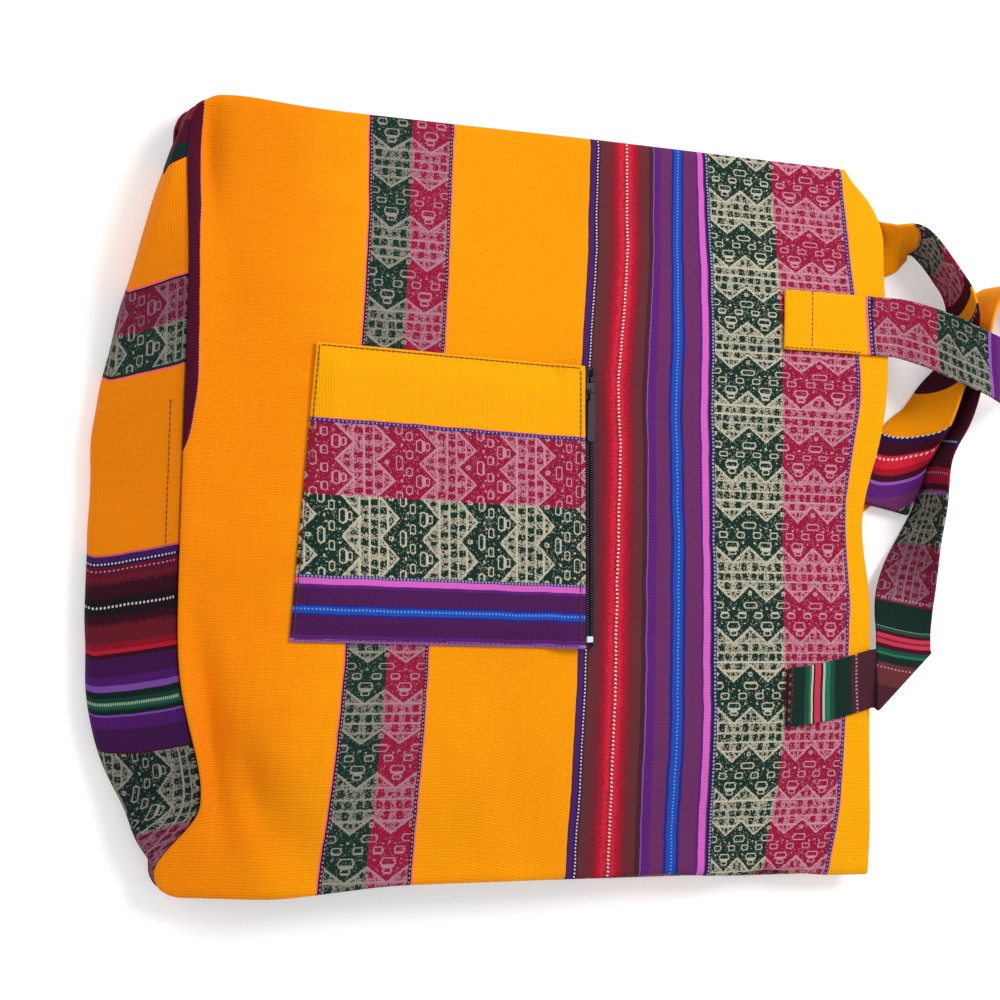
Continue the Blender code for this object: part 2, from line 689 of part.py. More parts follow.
def centreOnFloor():
    """Moves everything so that the middle of the model's footprint is the origin."""
    bpy.context.view_layer.update()
    graph = bpy.context.evaluated_depsgraph_get()
    low = Vector((1e9, 1e9, 1e9))
    high = -low
    for ob in bpy.context.scene.objects:
        shape = ob.evaluated_get(graph)
        for v in shape.data.vertices:
            p = shape.matrix_world @ v.co
            low = Vector(map(min, low, p))
            high = Vector(map(max, high, p))
    shift = Vector((-(low.x + high.x) / 2, -(low.y + high.y) / 2, -low.z))
    for ob in bpy.context.scene.objects:
        ob.matrix_world = Matrix.Translation(shift) @ ob.matrix_world
    return shift


def main():
    for ob in list(bpy.data.objects):
        bpy.data.objects.remove(ob)
    mats = {
        "panel": material("Striped cloth, orange", (0.95, 0.35, 0.01)),
        "back": material("Striped cloth, back", (0.85, 0.3, 0.02)),
        "gusset": material("Striped cloth, gusset", (0.35, 0.03, 0.06)),
        "pocket": material("Striped cloth, pocket", (0.45, 0.05, 0.1)),
        "strapFront": material("Striped strap, front", (0.1, 0.05, 0.05)),
        "strapBack": material("Striped strap, back", (0.2, 0.03, 0.1)),
        "tape": material("Zip tape", (0.06, 0.03, 0.05), 0.8),
        "coil": material("Zip coil", (0.08, 0.04, 0.06), 0.45),
        "stop": material("Bottom stop", (0.85, 0.9, 0.88), 0.4),
        "metal": material("Dark painted metal", (0.05, 0.03, 0.04), 0.4, 0.6),
        "pull": material("Dark pull", (0.06, 0.03, 0.05), 0.4, 0.6),
    }
    buildBody(mats)
    frame = zipFrame()
    buildPocket(mats, frame)
    buildZip(mats, frame)
    buildSlider(mats, frame)
    buildPull(mats, frame)
    sheet("front_strap", frontStrapRows(), strapThick, mats["strapFront"])
    sheet("back_strap", backStrapRows(), strapThick, mats["strapBack"])
    shift = centreOnFloor()
    place = Matrix.Translation(shift) @ frame
    print("shift", [round(v, 5) for v in shift])
    print("zip axis", [round(v, 5) for v in (place.to_3x3() @ Vector((0, 1, 0)))])
    print("slider at", [round(v, 5) for v in (place @ Vector((0, sliderY, 0)))])
    print("pull axis", [round(v, 5) for v in (place.to_3x3() @ Vector((1, 0, 0)))])
    print("pull at", [round(v, 5) for v in (place @ Vector((0, sliderY, barZ)))])


main()
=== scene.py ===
import math

import bmesh
import bpy
from mathutils import Matrix, Vector, noise

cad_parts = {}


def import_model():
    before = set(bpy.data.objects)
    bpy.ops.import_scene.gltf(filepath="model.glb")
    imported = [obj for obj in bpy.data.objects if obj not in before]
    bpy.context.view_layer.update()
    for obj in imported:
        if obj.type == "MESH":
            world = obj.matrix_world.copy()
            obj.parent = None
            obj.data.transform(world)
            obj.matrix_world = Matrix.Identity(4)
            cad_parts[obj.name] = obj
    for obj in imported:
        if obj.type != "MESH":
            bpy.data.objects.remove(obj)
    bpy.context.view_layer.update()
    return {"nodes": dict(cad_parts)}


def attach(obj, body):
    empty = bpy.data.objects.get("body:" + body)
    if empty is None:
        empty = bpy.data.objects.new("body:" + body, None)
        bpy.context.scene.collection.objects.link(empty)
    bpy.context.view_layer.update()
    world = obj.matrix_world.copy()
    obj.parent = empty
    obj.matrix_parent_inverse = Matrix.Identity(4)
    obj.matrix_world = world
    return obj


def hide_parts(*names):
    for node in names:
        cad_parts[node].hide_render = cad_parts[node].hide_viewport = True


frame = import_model()
mm = 0.001

# Measures that the cloth pieces share with the frame, in metres
seamX, panelLength, panelWidth = -0.188, 0.406, 0.406
mouthX, sideY = seamX + panelLength, panelWidth / 2
bag = {
    "seamRise": 0.048, "mouthRise": 0.0175,
    "corner": 0.015, "upperCornerRise": 0.025, "lowerCornerRise": 0.016,
    "backSetback": 0.003, "backShort": 0.007, "foldReach": 0.0375, "pleatDepth": 0.042, "foldRound": 0.005,
    "cloth": 0.002, "floorGap": 0.0003, "seamGap": 0.0006, "foldGap": 0.0014, "edgeGap": 0.0005,
    "highCreaseRise": 0.010, "liftClear": 0.006, "liftRun": 0.034, "sideSink": 0.002,
    "sideKeys": [(0.16, 0.66), (0.4, 0.6)], "shift": (-0.0538, -0.00171, 0.0),
    # swells and hollows along an edge: height, middle, half width
    "mouthSwells": [(0.004, 0.078, 0.045), (-0.006, 0.002, 0.032)],
    "mouthWaves": [(0.0035, 0.100, 0.045), (-0.0035, 0.002, 0.038)],
    "upperSwell": [(0.0035, seamX + 0.022, 0.028)], "lowerDent": [(0.005, mouthX - 0.062, 0.026)],
    # how far each edge is off straight, from where on and over what length; how deep into the panel that goes
    "sag": 0.018, "sagPlace": 0.048, "sagInner": 0.047, "sagOuter": 0.020, "seamReach": 0.090,
    "cornerPull": 0.003, "pullUpper": 0.030, "pullLower": (0.015, 0.020),
    "droop": 0.026, "droopFrom": 0.042, "droopReach": 0.044, "droopCurve": 1.3, "mouthReach": 0.036,
    "backReach": 0.026, "flare": 0.005, "flareFrom": 0.060, "flareReach": 0.140,
    "waveFrom": 0.110, "waveReach": 0.090, "draw": 0.005, "drawSeam": (0.050, 0.080),
    "drawMouth": (0.070, 0.060),
    # the gusset's fold toward each corner: start, length, curve
    "foldLower": (0.017, 0.075, 2.2), "foldUpper": (0.173, 0.158, 1.35),
}
strap = {
    "width": 0.034, "thick": 0.0022, "lapUpper": 0.067, "lapLower": 0.056, "lapBack": 0.056,
    "upperY": 0.1135, "lowerY": -0.1, "lowerSkew": 0.011, "foldRadius": 0.0016, "smooth": 4,
    "jog": 0.0465, "lapGap": 0.00035, "turnGap": 0.0015, "ripple": 0.0005, "rippleSize": 0.018,
    "calmStart": 0.075, "calmEnd": 0.1, "calmFade": 0.03, "overhang": 0.002,
    "edgeStitch": (0.001, 0.052), "edgeShare": 0.9, "crossStitch": 0.0178, "endStitch": 0.003,
    "across": [-1, -0.93, -0.8, -0.55, -0.28, 0, 0.28, 0.55, 0.8, 0.93, 1],
}
toWorld = Vector(bag["shift"])
half = bag["cloth"] / 2
slope = (bag["seamRise"] - bag["mouthRise"]) / panelLength
levelOne = bag["floorGap"] + strap["thick"] / 2
levelTwo = levelOne + strap["thick"] + bag["floorGap"]
backLift = levelTwo + strap["thick"] / 2 + bag["floorGap"]
backSeamX = seamX - bag["backSetback"]
backMouthX = backSeamX + panelLength - bag["backShort"]
liftEnd = backMouthX - strap["lapBack"] - bag["liftClear"]
liftStart = liftEnd - bag["liftRun"]
seamDrop = bag["cloth"] + bag["seamGap"]
strapHalf = strap["width"] / 2
thinner = 0.0002  # a strap's or the pocket's sheet is this much thinner than its solid
standing = strapHalf / mm + 0.7  # height in mm of the middle of a strap that stands on its edge


def limit(value):
    return min(max(value, 0.0), 1.0)


def ease(value):
    value = limit(value)
    return value * value * (3 - 2 * value)


def bump(value):
    return math.exp(-value * value)


def humps(value, table):
    return sum(size * bump((value - middle) / reach) for size, middle, reach in table)


def mix(a, b, share):
    return a + (b - a) * share


def keyed(value, keys, soft=True):
    if value <= keys[0][0]:
        return keys[0][1]
    for (x0, y0), (x1, y1) in zip(keys, keys[1:]):
        if value <= x1:
            share = (value - x0) / (x1 - x0)
            return mix(y0, y1, ease(share) if soft else share)
    return keys[-1][1]


def even(count, low=0.0, high=1.0):
    return [mix(low, high, i / count) for i in range(count + 1)]


def finer(values, each):
    out = []
    for a, b in zip(values, values[1:]):
        out += [mix(a, b, i / each) for i in range(each)]
    return out + [values[-1]]


def runLengths(points):
    lengths = [0.0]
    for a, b in zip(points, points[1:]):
        lengths.append(lengths[-1] + (b - a).length)
    return lengths


# Shape of the bag body

def roundedCorner(x, y, startX):
    corner = bag["corner"]
    a = (startX + corner - x) / corner
    b = (abs(y) - (sideY - corner)) / corner
    if a > 0 and b > 0:
        x = startX + corner - a * math.sqrt(1 - b * b / 2) * corner
        y = math.copysign(sideY - corner + b * math.sqrt(1 - a * a / 2) * corner, y)
    return x, y


def seamShift(y):
    place = y + sideY - bag["sagPlace"]
    sag = bag["sag"] * bump(place / bag["sagInner" if place > 0 else "sagOuter"])
    start, reach = bag["pullLower"]
    upper = ease((y - sideY + bag["pullUpper"]) / bag["pullUpper"])
    return sag + bag["cornerPull"] * (upper - ease((-place - start) / reach))


def droopShift(y):
    return -bag["droop"] * ease((y - sideY + bag["droopFrom"]) / bag["droopReach"]) ** bag["droopCurve"]


def mouthShift(y):
    flare = bag["flare"] * ease((-y - bag["flareFrom"]) / bag["flareReach"])
    return droopShift(y) + humps(y, bag["mouthSwells"]) + flare


def sideRise(along, upper):
    corner = bag["upperCornerRise"] if upper else bag["lowerCornerRise"]
    least = backLift + bag["cloth"] + 2 * seamDrop + 2 * bag["cloth"]
    end = max(least, bag["mouthRise"] - bag["sideSink"])
    middle = [(place, bag["seamRise"] * share) for place, share in bag["sideKeys"]]
    return keyed(along, [(0, corner), *middle, (1, end)])


def frontHeight(x, y):
    along = (x - seamX) / panelLength
    plane = bag["mouthRise"] + slope * (mouthX - x)
    fall = (plane - sideRise(along, y > 0)) * ease((abs(y) / sideY - 0.5) / 0.5)
    waves = ease((x - mouthX + bag["waveFrom"]) / bag["waveReach"]) * humps(y, bag["mouthWaves"])
    return plane - fall + waves


def sideShift(x, y):
    shift = humps(x, bag["upperSwell"] if y > 0 else bag["lowerDent"])
    if y <= 0:
        (start, reach), (end, fade) = bag["drawSeam"], bag["drawMouth"]
        shift += bag["draw"] * ease((x - seamX - start) / reach) * ease((mouthX - end - x) / fade)
    return shift * (abs(y) / sideY) ** 4


def frontPoint(s, t):
    x, y = roundedCorner(seamX + s * panelLength, (t - 0.5) * panelWidth, seamX)
    z = frontHeight(x, y)
    y += sideShift(x, y)
    x += seamShift(y) * max(0.0, 1 - (x - seamX) / bag["seamReach"]) ** 2
    x += mouthShift(y) * ease((x - mouthX + bag["mouthReach"]) / bag["mouthReach"])
    return Vector((x, y, z))


def backPoint(s, t):
    x, y = roundedCorner(mix(backSeamX, backMouthX, s), (t - 0.5) * panelWidth, backSeamX)
    lift = backLift * ease((x - liftStart) / (liftEnd - liftStart))
    x += droopShift(y) * ease((x - backMouthX + bag["backReach"]) / bag["backReach"])
    return Vector((x, y, half + lift))


def rounded(points, radius, steps=6):
    out = [points[0]]
    for before, at, after in zip(points, points[1:], points[2:]):
        start, end = before - at, after - at
        cut = min(radius, start.length * 0.45, end.length * 0.45)
        p0, p2 = at + start.normalized() * cut, at + end.normalized() * cut
        out += [mix(out[-1], p0, share) for share in (0.25, 0.5, 0.75)]
        out += [p0 * (1 - share) ** 2 + at * 2 * share * (1 - share) + p2 * share**2 for share in even(steps)]
    return out + [mix(out[-1], points[-1], share) for share in (0.25, 0.5, 0.75, 1.0)]


def gussetSection(s, t, outward, reach):
    seams = [frontPoint(s, t) - outward * bag["edgeGap"] - Vector((0, 0, seamDrop)),
             backPoint(s, t) - outward * bag["edgeGap"] + Vector((0, 0, seamDrop))]
    front, back = seams
    tuck = ease(-reach / bag["pleatDepth"])
    share = max(ease(reach / bag["foldReach"]), tuck)
    high = mix(front.z, mix(bag["highCreaseRise"], front.z - bag["seamGap"], tuck), share)
    low = mix(back.z, mix(half + bag["seamGap"], back.z, tuck), share)
    base = mix(front, back, 0.5)
    folds = [seam + outward * (reach + (base - seam).dot(outward)) for seam in seams]
    folds[0].z = high
    folds[1].z = min(low, high - bag["cloth"] - bag["foldGap"])
    return rounded([front, *folds, back], bag["foldRound"])


def foldAt(y):
    start, length, curve = bag["foldLower"]
    lower = 1 - (1 - limit((y + sideY - start) / length)) ** curve
    start, length, curve = bag["foldUpper"]
    return bag["foldReach"] * lower * (1 - limit((y - sideY + start) / length) ** curve)


def stations(each):
    lifts = [(mix(liftStart, liftEnd, share) - backSeamX) / (backMouthX - backSeamX) for share in even(5)]
    along = [0, 0.02, 0.045, 0.08, 0.13, 0.19] + even(8, 0.26, lifts[0] - 0.03)
    along += lifts + [0.9, 0.935, 0.965, 1]
    edges = [0, 0.012, 0.03, 0.055, 0.09, 0.14, 0.2]
    across = edges + even(11, 0.26, 0.74) + [1 - e for e in reversed(edges)]
    return finer(along, each), finer(across, each)


# Meshes: cloth as a grid of points with the weave's own coordinates, thread and coils as thin tubes

def addObject(name, data):
    made = bpy.data.objects.new(name, data)
    bpy.context.scene.collection.objects.link(made)
    return made


def addPiece(name, mesh, node=None):
    mesh.shade_smooth()
    piece = addObject(name, mesh)
    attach(piece, "bag")
    if node:
        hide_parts(node)
    return piece


def gridOf(along, across, pointAt):
    made = [[pointAt(s, t) for t in across] for s in along]
    return [[p for p, uv in row] for row in made], [[uv for p, uv in row] for row in made]


def clothPiece(name, rows, coords, slotName, node, thick):
    count = len(rows[0])
    mesh = bpy.data.meshes.new(name)
    faces = [(i * count + j, (i + 1) * count + j, (i + 1) * count + j + 1, i * count + j + 1)
             for i in range(len(rows) - 1) for j in range(count - 1)]
    mesh.from_pydata([tuple(p) for row in rows for p in row], [], faces)
    layer = mesh.uv_layers.new(name="cloth")
    flat = [uv for row in coords for uv in row]
    for loop in mesh.loops:
        layer.data[loop.index].uv = flat[loop.vertex_index]
    piece = addPiece(name, mesh, node)
    solid = piece.modifiers.new("Cloth thickness", "SOLIDIFY")
    solid.thickness, solid.offset, solid.use_even_offset = thick, 0.0, False
    soft = piece.modifiers.new("Rounded edges", "SUBSURF")
    soft.levels = soft.render_levels = 1
    return piece


def ring(centre, across, lift, radius, sides=6):
    turns = [math.tau * k / sides for k in range(sides)]
    return [centre + (across * math.cos(turn) + lift * math.sin(turn)) * radius for turn in turns]


def tubePiece(name, tubes, node=None):
    made = bmesh.new()
    for tube in tubes:
        rings = [[made.verts.new(p) for p in points] for points in tube]
        for one, two in zip(rings, rings[1:]):
            for k in range(len(one)):
                made.faces.new((one[k - 1], one[k], two[k], two[k - 1]))
        made.faces.new(rings[0][::-1])
        made.faces.new(rings[-1])
    bmesh.ops.recalc_face_normals(made, faces=made.faces)
    mesh = bpy.data.meshes.new(name)
    made.to_mesh(mesh)
    made.free()
    return addPiece(name, mesh, node)


def normals(rows):
    out = []
    for i, row in enumerate(rows):
        below, above = rows[max(i - 1, 0)], rows[min(i + 1, len(rows) - 1)]
        last = len(row) - 1
        out.append([(above[j] - below[j]).cross(row[min(j + 1, last)] - row[max(j - 1, 0)]).normalized()
                    for j in range(last + 1)])
    return out


# Front panel

frontPanel = {
    "thick": 0.0014, "rollWidth": 0.006, "rollDrop": 0.0019, "rollCurve": 2.2, "ripple": 0.0013,
    "rippleSize": 0.05, "lift": 0.0003, "mouthWidth": 0.004, "mouthDrop": 0.0004,
    "cornerSwell": [(0.0035, 0.189, 0.012)], "swellFrom": 0.040, "swellReach": 0.030,
    # where the pocket and the straps' laps hold the panel still
    "fade": 0.02, "underPocket": (-0.150, 0.055, -0.090, 0.100),
    "lapStart": 0.135, "lapMiddles": (strap["upperY"], -0.097), "lapReach": 0.030,
    # where the cloth's stripes lie: cloth place in mm -> (Y, X) pairs in mm
    "stripeLines": {
        22.0: [(-204, 194.9), (-160, 202), (-113, 203.1), (-44, 203.5), (13, 200), (71, 204.5), (203, 189)],
        60.0: [
            (-204, 153), (-180, 154.8), (-158, 158.8), (-118, 162.2), (-22, 158.8), (40, 155.2), (108, 150.5),
            (203, 142.5)],
        101.5: [(-204, 119), (-100, 117), (-18, 113), (66, 108.3), (100, 107.6), (149, 105.2), (203, 100.8)],
        121.0: [
            (-195, 94.2), (-101, 93.2), (-15, 90.5), (32, 87), (66, 85.1), (98, 85.6), (148, 83.7),
            (203, 83.7)],
        136.0: [(-195, 75.5), (-57, 72.3), (31, 69.5), (66, 67.7), (97, 68.2), (146, 69.3), (203, 68.6)],
        154.4: [(-195, 55.8), (-47, 53.4), (30, 52.9), (71, 49.6), (112, 52.2), (145, 53.3), (203, 52)],
        177.0: [(-199, 29.9), (-74, 30.9), (80, 26.7), (140, 28.8), (203, 29.8)],
        255.0: [(-201, -56.8), (-74, -54.4), (75, -51.5), (110, -50.7), (206, -47.4)],
        301.0: [(-200, -108.5), (-150, -104.9), (-74, -100.5), (72, -98.5), (160, -95), (205, -94.8)],
        390.0: [
            (-204, -206), (12, -200), (25, -187.5), (40, -184.4), (56, -182.9), (72, -182.8), (121, -183.6),
            (205, -180)],
    },
    # (Y, place in the weave) in mm of the rows of zigzags, unevenly spaced: wide band, then narrow band
    "wideRows": [
        (-230, -226.3), (-190, -185.9), (-150, -145.5), (-105, -105.1), (-60, -64.7), (-15, -24.3),
        (30.5, 16.1), (72, 56.5), (110.5, 96.9), (147.5, 137.3), (184, 177.7), (221, 218.1)],
    "narrowRows": [
        (-237, -259.1), (-187, -212.6), (-137, -166.1), (-94, -119.6), (108, 112.9), (151.5, 159.4),
        (193, 205.9), (235, 252.4)],
    # hollows beside the bottom seam: X, Y, half width, half height, depth, lean
    "dents": [
        (-0.177, 0.174, 0.007, 0.034, 0.0075, 0.0), (-0.168, 0.110, 0.011, 0.050, 0.0030, 0.0),
        (-0.167, -0.120, 0.0085, 0.050, 0.0110, -0.20), (-0.146, -0.142, 0.009, 0.032, 0.0055, -0.30),
        (-0.128, -0.165, 0.016, 0.034, 0.0045, -0.6), (-0.140, 0.060, 0.016, 0.040, 0.0018, 0.3),
        (-0.010, 0.150, 0.014, 0.060, 0.0016, 0.15), (0.000, -0.150, 0.013, 0.050, 0.0016, -0.2)],
}
backPanel = {"rollRise": 0.0013, "sink": 0.0002, "weaveStart": 0.011}


# The place in the weave, in metres from the mouth's edge, of a point of the front panel
def clothPlace(x, y):
    lines = [(mouthX + mouthShift(y), 0.0)]
    for place, keys in frontPanel["stripeLines"].items():
        lines.append((keyed(y / mm, keys, False) * mm, place * mm))
    lines.append((lines[-1][0] - 0.1, lines[-1][1] + 0.1))
    for (x0, c0), (x1, c1) in zip(lines, lines[1:]):
        if x >= x1:
            return mix(c0, c1, (x0 - x) / (x0 - x1))
    return c1 + (x1 - x)


def weavePlace(place, y):
    wide = keyed(y / mm, frontPanel["wideRows"], False) * mm
    narrow = keyed(y / mm, frontPanel["narrowRows"], False) * mm
    return mix(wide, narrow, ease((place - 0.12) / 0.12))


# 1 where the panel is free to ripple, 0 under the pocket and the straps' laps
def freedom(x, y):
    fade = frontPanel["fade"]
    lowX, highX, lowY, highY = frontPanel["underPocket"]
    nearPocket = math.prod(ease(past / fade) for past in (x - lowX, highX - x, y - lowY, highY - y))
    nearLap = max(bump((y - middle) / frontPanel["lapReach"]) for middle in frontPanel["lapMiddles"])
    nearStraps = ease((x - frontPanel["lapStart"]) / fade) * nearLap
    return 1 - max(nearPocket, min(1.0, 1.3 * nearStraps))


def rimShare(s, t):
    rim = min(s * panelLength, t * panelWidth, (1 - t) * panelWidth)
    return 1 - limit(rim / frontPanel["rollWidth"])


def frontCloth(s, t):
    p = frontPoint(s, t)
    near = ease((p.x - mouthX + frontPanel["swellFrom"]) / frontPanel["swellReach"])
    p.x += humps(p.y, frontPanel["cornerSwell"]) * near
    inward = rimShare(s, t)
    mouth = 1 - limit((1 - s) * panelLength / frontPanel["mouthWidth"])
    place = Vector((p.x / frontPanel["rippleSize"], p.y / frontPanel["rippleSize"], 3.7))
    ripple = frontPanel["ripple"] * (noise.noise(place) + 0.4 * noise.noise(place * 2.7)) * (1 - inward)
    for x, y, wide, high, depth, lean in frontPanel["dents"]:
        u, v = p.x - x - lean * (p.y - y), p.y - y
        p.z -= depth * bump(u / wide) * bump(v / high) * (1 - inward)
    p.z += frontPanel["lift"] + ripple * freedom(p.x, p.y)
    p.z -= frontPanel["rollDrop"] * inward ** frontPanel["rollCurve"] + frontPanel["mouthDrop"] * mouth**2
    place = clothPlace(p.x, p.y)
    return p + toWorld, (place, weavePlace(place, p.y))


def backCloth(s, t):
    p = backPoint(s, t)
    inward = rimShare(s, t)
    p.z += backPanel["rollRise"] * inward ** frontPanel["rollCurve"] - backPanel["sink"] * (1 - inward)
    return p + toWorld, (backMouthX - p.x, p.y + backPanel["weaveStart"])


def buildBody():
    along, across = stations(4)
    atSeam, atMouth = [0, 0.004, 0.009, 0.014], [0.985, 0.99, 0.995, 1]
    along = atSeam + [s for s in along if 0.016 < s < 0.985] + atMouth
    thick = frontPanel["thick"]
    grid = gridOf(along, across, frontCloth)
    front = clothPiece("frontPanelCloth", *grid, "panel_cloth", "front_panel", thick)
    grid = gridOf(*stations(2), backCloth)
    back = clothPiece("backPanelCloth", *grid, "back_cloth", "back_panel", thick)
    rows, coords = gussetRows()
    strip = clothPiece("gussetCloth", rows, coords, "gusset_cloth", "gusset_strip", gusset["thick"])
    return front, back, strip, rows, coords


# Gusset: one strip up one side, round the bottom and up the other side

gusset = {
    "thick": 0.0015, "slant": 0.009, "slantReach": 0.03, "ripple": 0.0012, "rippleSize": 0.022,
    "startPlace": 0.3685, "pleatStart": 0.02, "pleatReach": 0.070,
    # the stitches along the tuck
    "tuckHigh": 0.050, "tuckLow": -0.031, "tuckReach": 0.05, "tuckInset": 0.008,
}


def gussetLine(s, t, turn, reach, place, slant):
    outward = Vector((-math.cos(turn), math.copysign(math.sin(turn), t - 0.5), 0))
    line = gussetSection(s, t, outward, reach)
    lengths = runLengths(line)
    return line, [(place - slant * (1 - abs(2 * k / lengths[-1] - 1)), k) for k in lengths]


def gussetSide(t, along):
    made = []
    for s in along:
        tuck = -bag["pleatDepth"] * ease((s - gusset["pleatStart"]) * panelLength / gusset["pleatReach"])
        turn = math.radians(90) * ease(0.5 + 0.5 * s * panelLength / bag["corner"])
        place = gusset["startPlace"] + math.copysign(sideY + s * panelLength, 0.5 - t)
        made.append(gussetLine(s, t, turn, tuck, place, 0.0))
    return made


def gussetRows():
    along, across = stations(3)
    made = gussetSide(1.0, list(reversed(along))[:-1])
    for t in reversed(across):
        y = (t - 0.5) * panelWidth
        turn = math.radians(45) * ease((abs(y) - sideY + bag["corner"]) / bag["corner"])
        slant = gusset["slant"] * ease((sideY - abs(y)) / gusset["slantReach"])
        made.append(gussetLine(0.0, t, turn, foldAt(y), gusset["startPlace"] - y, slant))
    made += gussetSide(0.0, along[1:])
    rows, coords = [line for line, uv in made], [uv for line, uv in made]
    facing = normals(rows)
    last = len(rows[0]) - 1
    for i, row in enumerate(rows):
        for j, p in enumerate(row):
            size = gusset["ripple"] * noise.noise(p / gusset["rippleSize"]) * math.sin(math.pi * j / last)
            row[j] = p + facing[i][j] * size + toWorld
    return rows, coords


# Straps: rows of three points, left edge, middle and right edge

def curve(points, share):
    place = share * (len(points) - 1)
    i = min(int(place), len(points) - 2)
    u = place - i
    p0, p1, p2, p3 = points[max(i - 1, 0)], points[i], points[i + 1], points[min(i + 2, len(points) - 1)]
    return 0.5 * ((2 * p1) + (p2 - p0) * u + (2 * p0 - 5 * p1 + 4 * p2 - p3) * u**2
                  + (3 * p1 - p0 - 3 * p2 + p3) * u**3)


def sweep(places, sides):
    rows = []
    for share in even((len(places) - 1) * strap["smooth"]):
        at = curve(places, share)
        ahead = curve(places, min(share + 0.002, 1)) - curve(places, max(share - 0.002, 0))
        side = curve(sides, share)
        side = (side - ahead * (side.dot(ahead) / ahead.length_squared)).normalized()
        reach = side * strapHalf
        lowest = bag["floorGap"] + abs(reach.z) + strap["thick"] / 2 * math.sqrt(max(0.0, 1 - side.z**2))
        at.z = max(at.z, lowest)
        rows.append([at + reach, at, at - reach])
    return rows


def crease(row, outward, rise, steps=10):
    radius = abs(rise) / 2
    rows = []
    for i in range(1, steps):
        angle = math.pi * i / steps
        shift = outward * (radius * math.sin(angle)) + Vector((0, 0, rise * (1 - math.cos(angle)) / 2))
        rows.append([p + shift for p in row])
    return rows


def level(row, height):
    return [Vector((p.x, p.y, height)) for p in row]


def between(first, last, steps):
    return [[mix(a, b, i / steps) for a, b in zip(first, last)] for i in range(1, steps)] + [last]


def section(left, right):
    left, right = Vector(left), Vector(right)
    return [left, mix(left, right, 0.5), right]


def diagonal(x, y, height):
    return section((x + strapHalf, y + strapHalf, height), (x - strapHalf, y - strapHalf, height))


def acrossAt(x, y, height):
    return [Vector((x, y + k * strapHalf, height)) for k in (1, 0, -1)]


def sewnRows(lap, middle):
    lift = Vector((0, 0, half + strap["lapGap"] + strap["thick"] / 2))
    rows = []
    for share in even(14):
        s, y = mix(1 - lap / panelLength, 1.0, share), middle(share)
        places = (y + strapHalf, y, y - strapHalf)
        rows.append([frontPoint(s, 0.5 + place / panelWidth) + lift for place in places])
    return rows


# x from x0 and y from y0 in mm, and the height, which is left out where the strap stands on its edge
def strapPoints(x0, y0, points):
    made = [(x, y, *(height or [standing])) for x, y, *height in points]
    return [Vector((mouthX + (x0 + x) * mm, (y0 + y) * mm, z * mm)) for x, y, z in made]


upright = (0, 0, 1)
turnOver = Vector((0.7071, -0.7071, 0))  # outward at a diagonal fold
frontRun = {
    "middle": [
        (12, -1, 25), (31, -7, 33), (47, -15, 41), (66, -22, 42.5), (85, -28, 37), (101, -28, 26),
        (112, -20, standing + 1), (116, -6), (112, 11), (103, 23), (91, 29), (80, 29), (71, 23), (65.5, 11),
        (63, -3), (61, -17), (58, -31), (54.5, -44), (49.5, -56), (43.5, -66), (39.5, -76), (38.3, -92),
        (36.5, -104), (30, -123), (24.5, -142), (20.5, -159, 19.5), (19.5, -175, 21.5)],
    "sides": [
        (0, 1, 0), (0, 1, 0.02), (0.1, 1, 0.06), (0.25, 0.95, 0.08), (0.32, 0.93, 0.1), (0.25, 0.8, 0.45),
        (0.02, 0.35, 0.93), (0, 0.05, 1), *[upright] * 15, (0.08, 0, 1), (0.3, 0, 0.95), (0.66, 0, 0.75),
        (0.91, 0.1, 0.38), (0.99, -0.04, 0.12)],
}
backRun = {
    "middle": [
        (7, 0, 5.3), (14, 0.3, 8.4), (21, 2.5, 12.4), (28, 5, 15.5), (34.5, 4, 17), (40, 0), (47, -7),
        (54, -15), (60.5, -23), (64.5, -34), (65, -48), (61.5, -63), (53, -78, 17.5), (44.5, -96, 14.5),
        (36.5, -107, 12.5), (30.5, -119, 9.5), (28.5, -131, 8.4)],
    "sides": [
        (0, 1, 0), (0, 0.98, 0.18), (0, 0.9, 0.42), (-0.05, 0.7, 0.7), (-0.1, 0.5, 0.85), (-0.1, 0.25, 0.95),
        (-0.05, 0.1, 1), *[upright] * 5, (0.05, 0, 1), (0.3, 0, 0.95), (0.5, -0.11, 0.84),
        (0.72, -0.14, 0.66), (0.86, -0.25, 0.42), (0.92, -0.27, 0.25)],
}


def frontStrapRows():
    rows = sewnRows(strap["lapUpper"], lambda share: strap["upperY"])
    places = [rows[-1][1]] + strapPoints(0, strap["upperY"] / mm, frontRun["middle"])
    rows += sweep(places, [Vector(side) for side in frontRun["sides"]])[1:]
    sewn = sewnRows(strap["lapLower"], lambda share: strap["lowerY"] + strap["lowerSkew"] * share**1.5)[::-1]
    end = sewn[0]
    drop = 2 * strap["foldRadius"]
    foldX = max(p.x for p in end) + strapHalf + strap["turnGap"]
    high = diagonal(foldX, end[1].y, max(p.z for p in end) + drop + bag["floorGap"])
    rows += between(rows[-1], high, 6) + crease(high, turnOver, -drop)
    under = [p - Vector((0, 0, drop)) for p in high]
    return rows + [under] + between(under, end, 8) + sewn[1:]


def foldedEnd(y, runIn):
    start = acrossAt(backMouthX - strap["lapBack"], y, levelTwo)
    line = diagonal(runIn - strapHalf, y, levelTwo)
    rows = [start] + between(start, line, 6) + crease(line, turnOver, levelOne - levelTwo)
    return rows + [level(line, levelOne)]


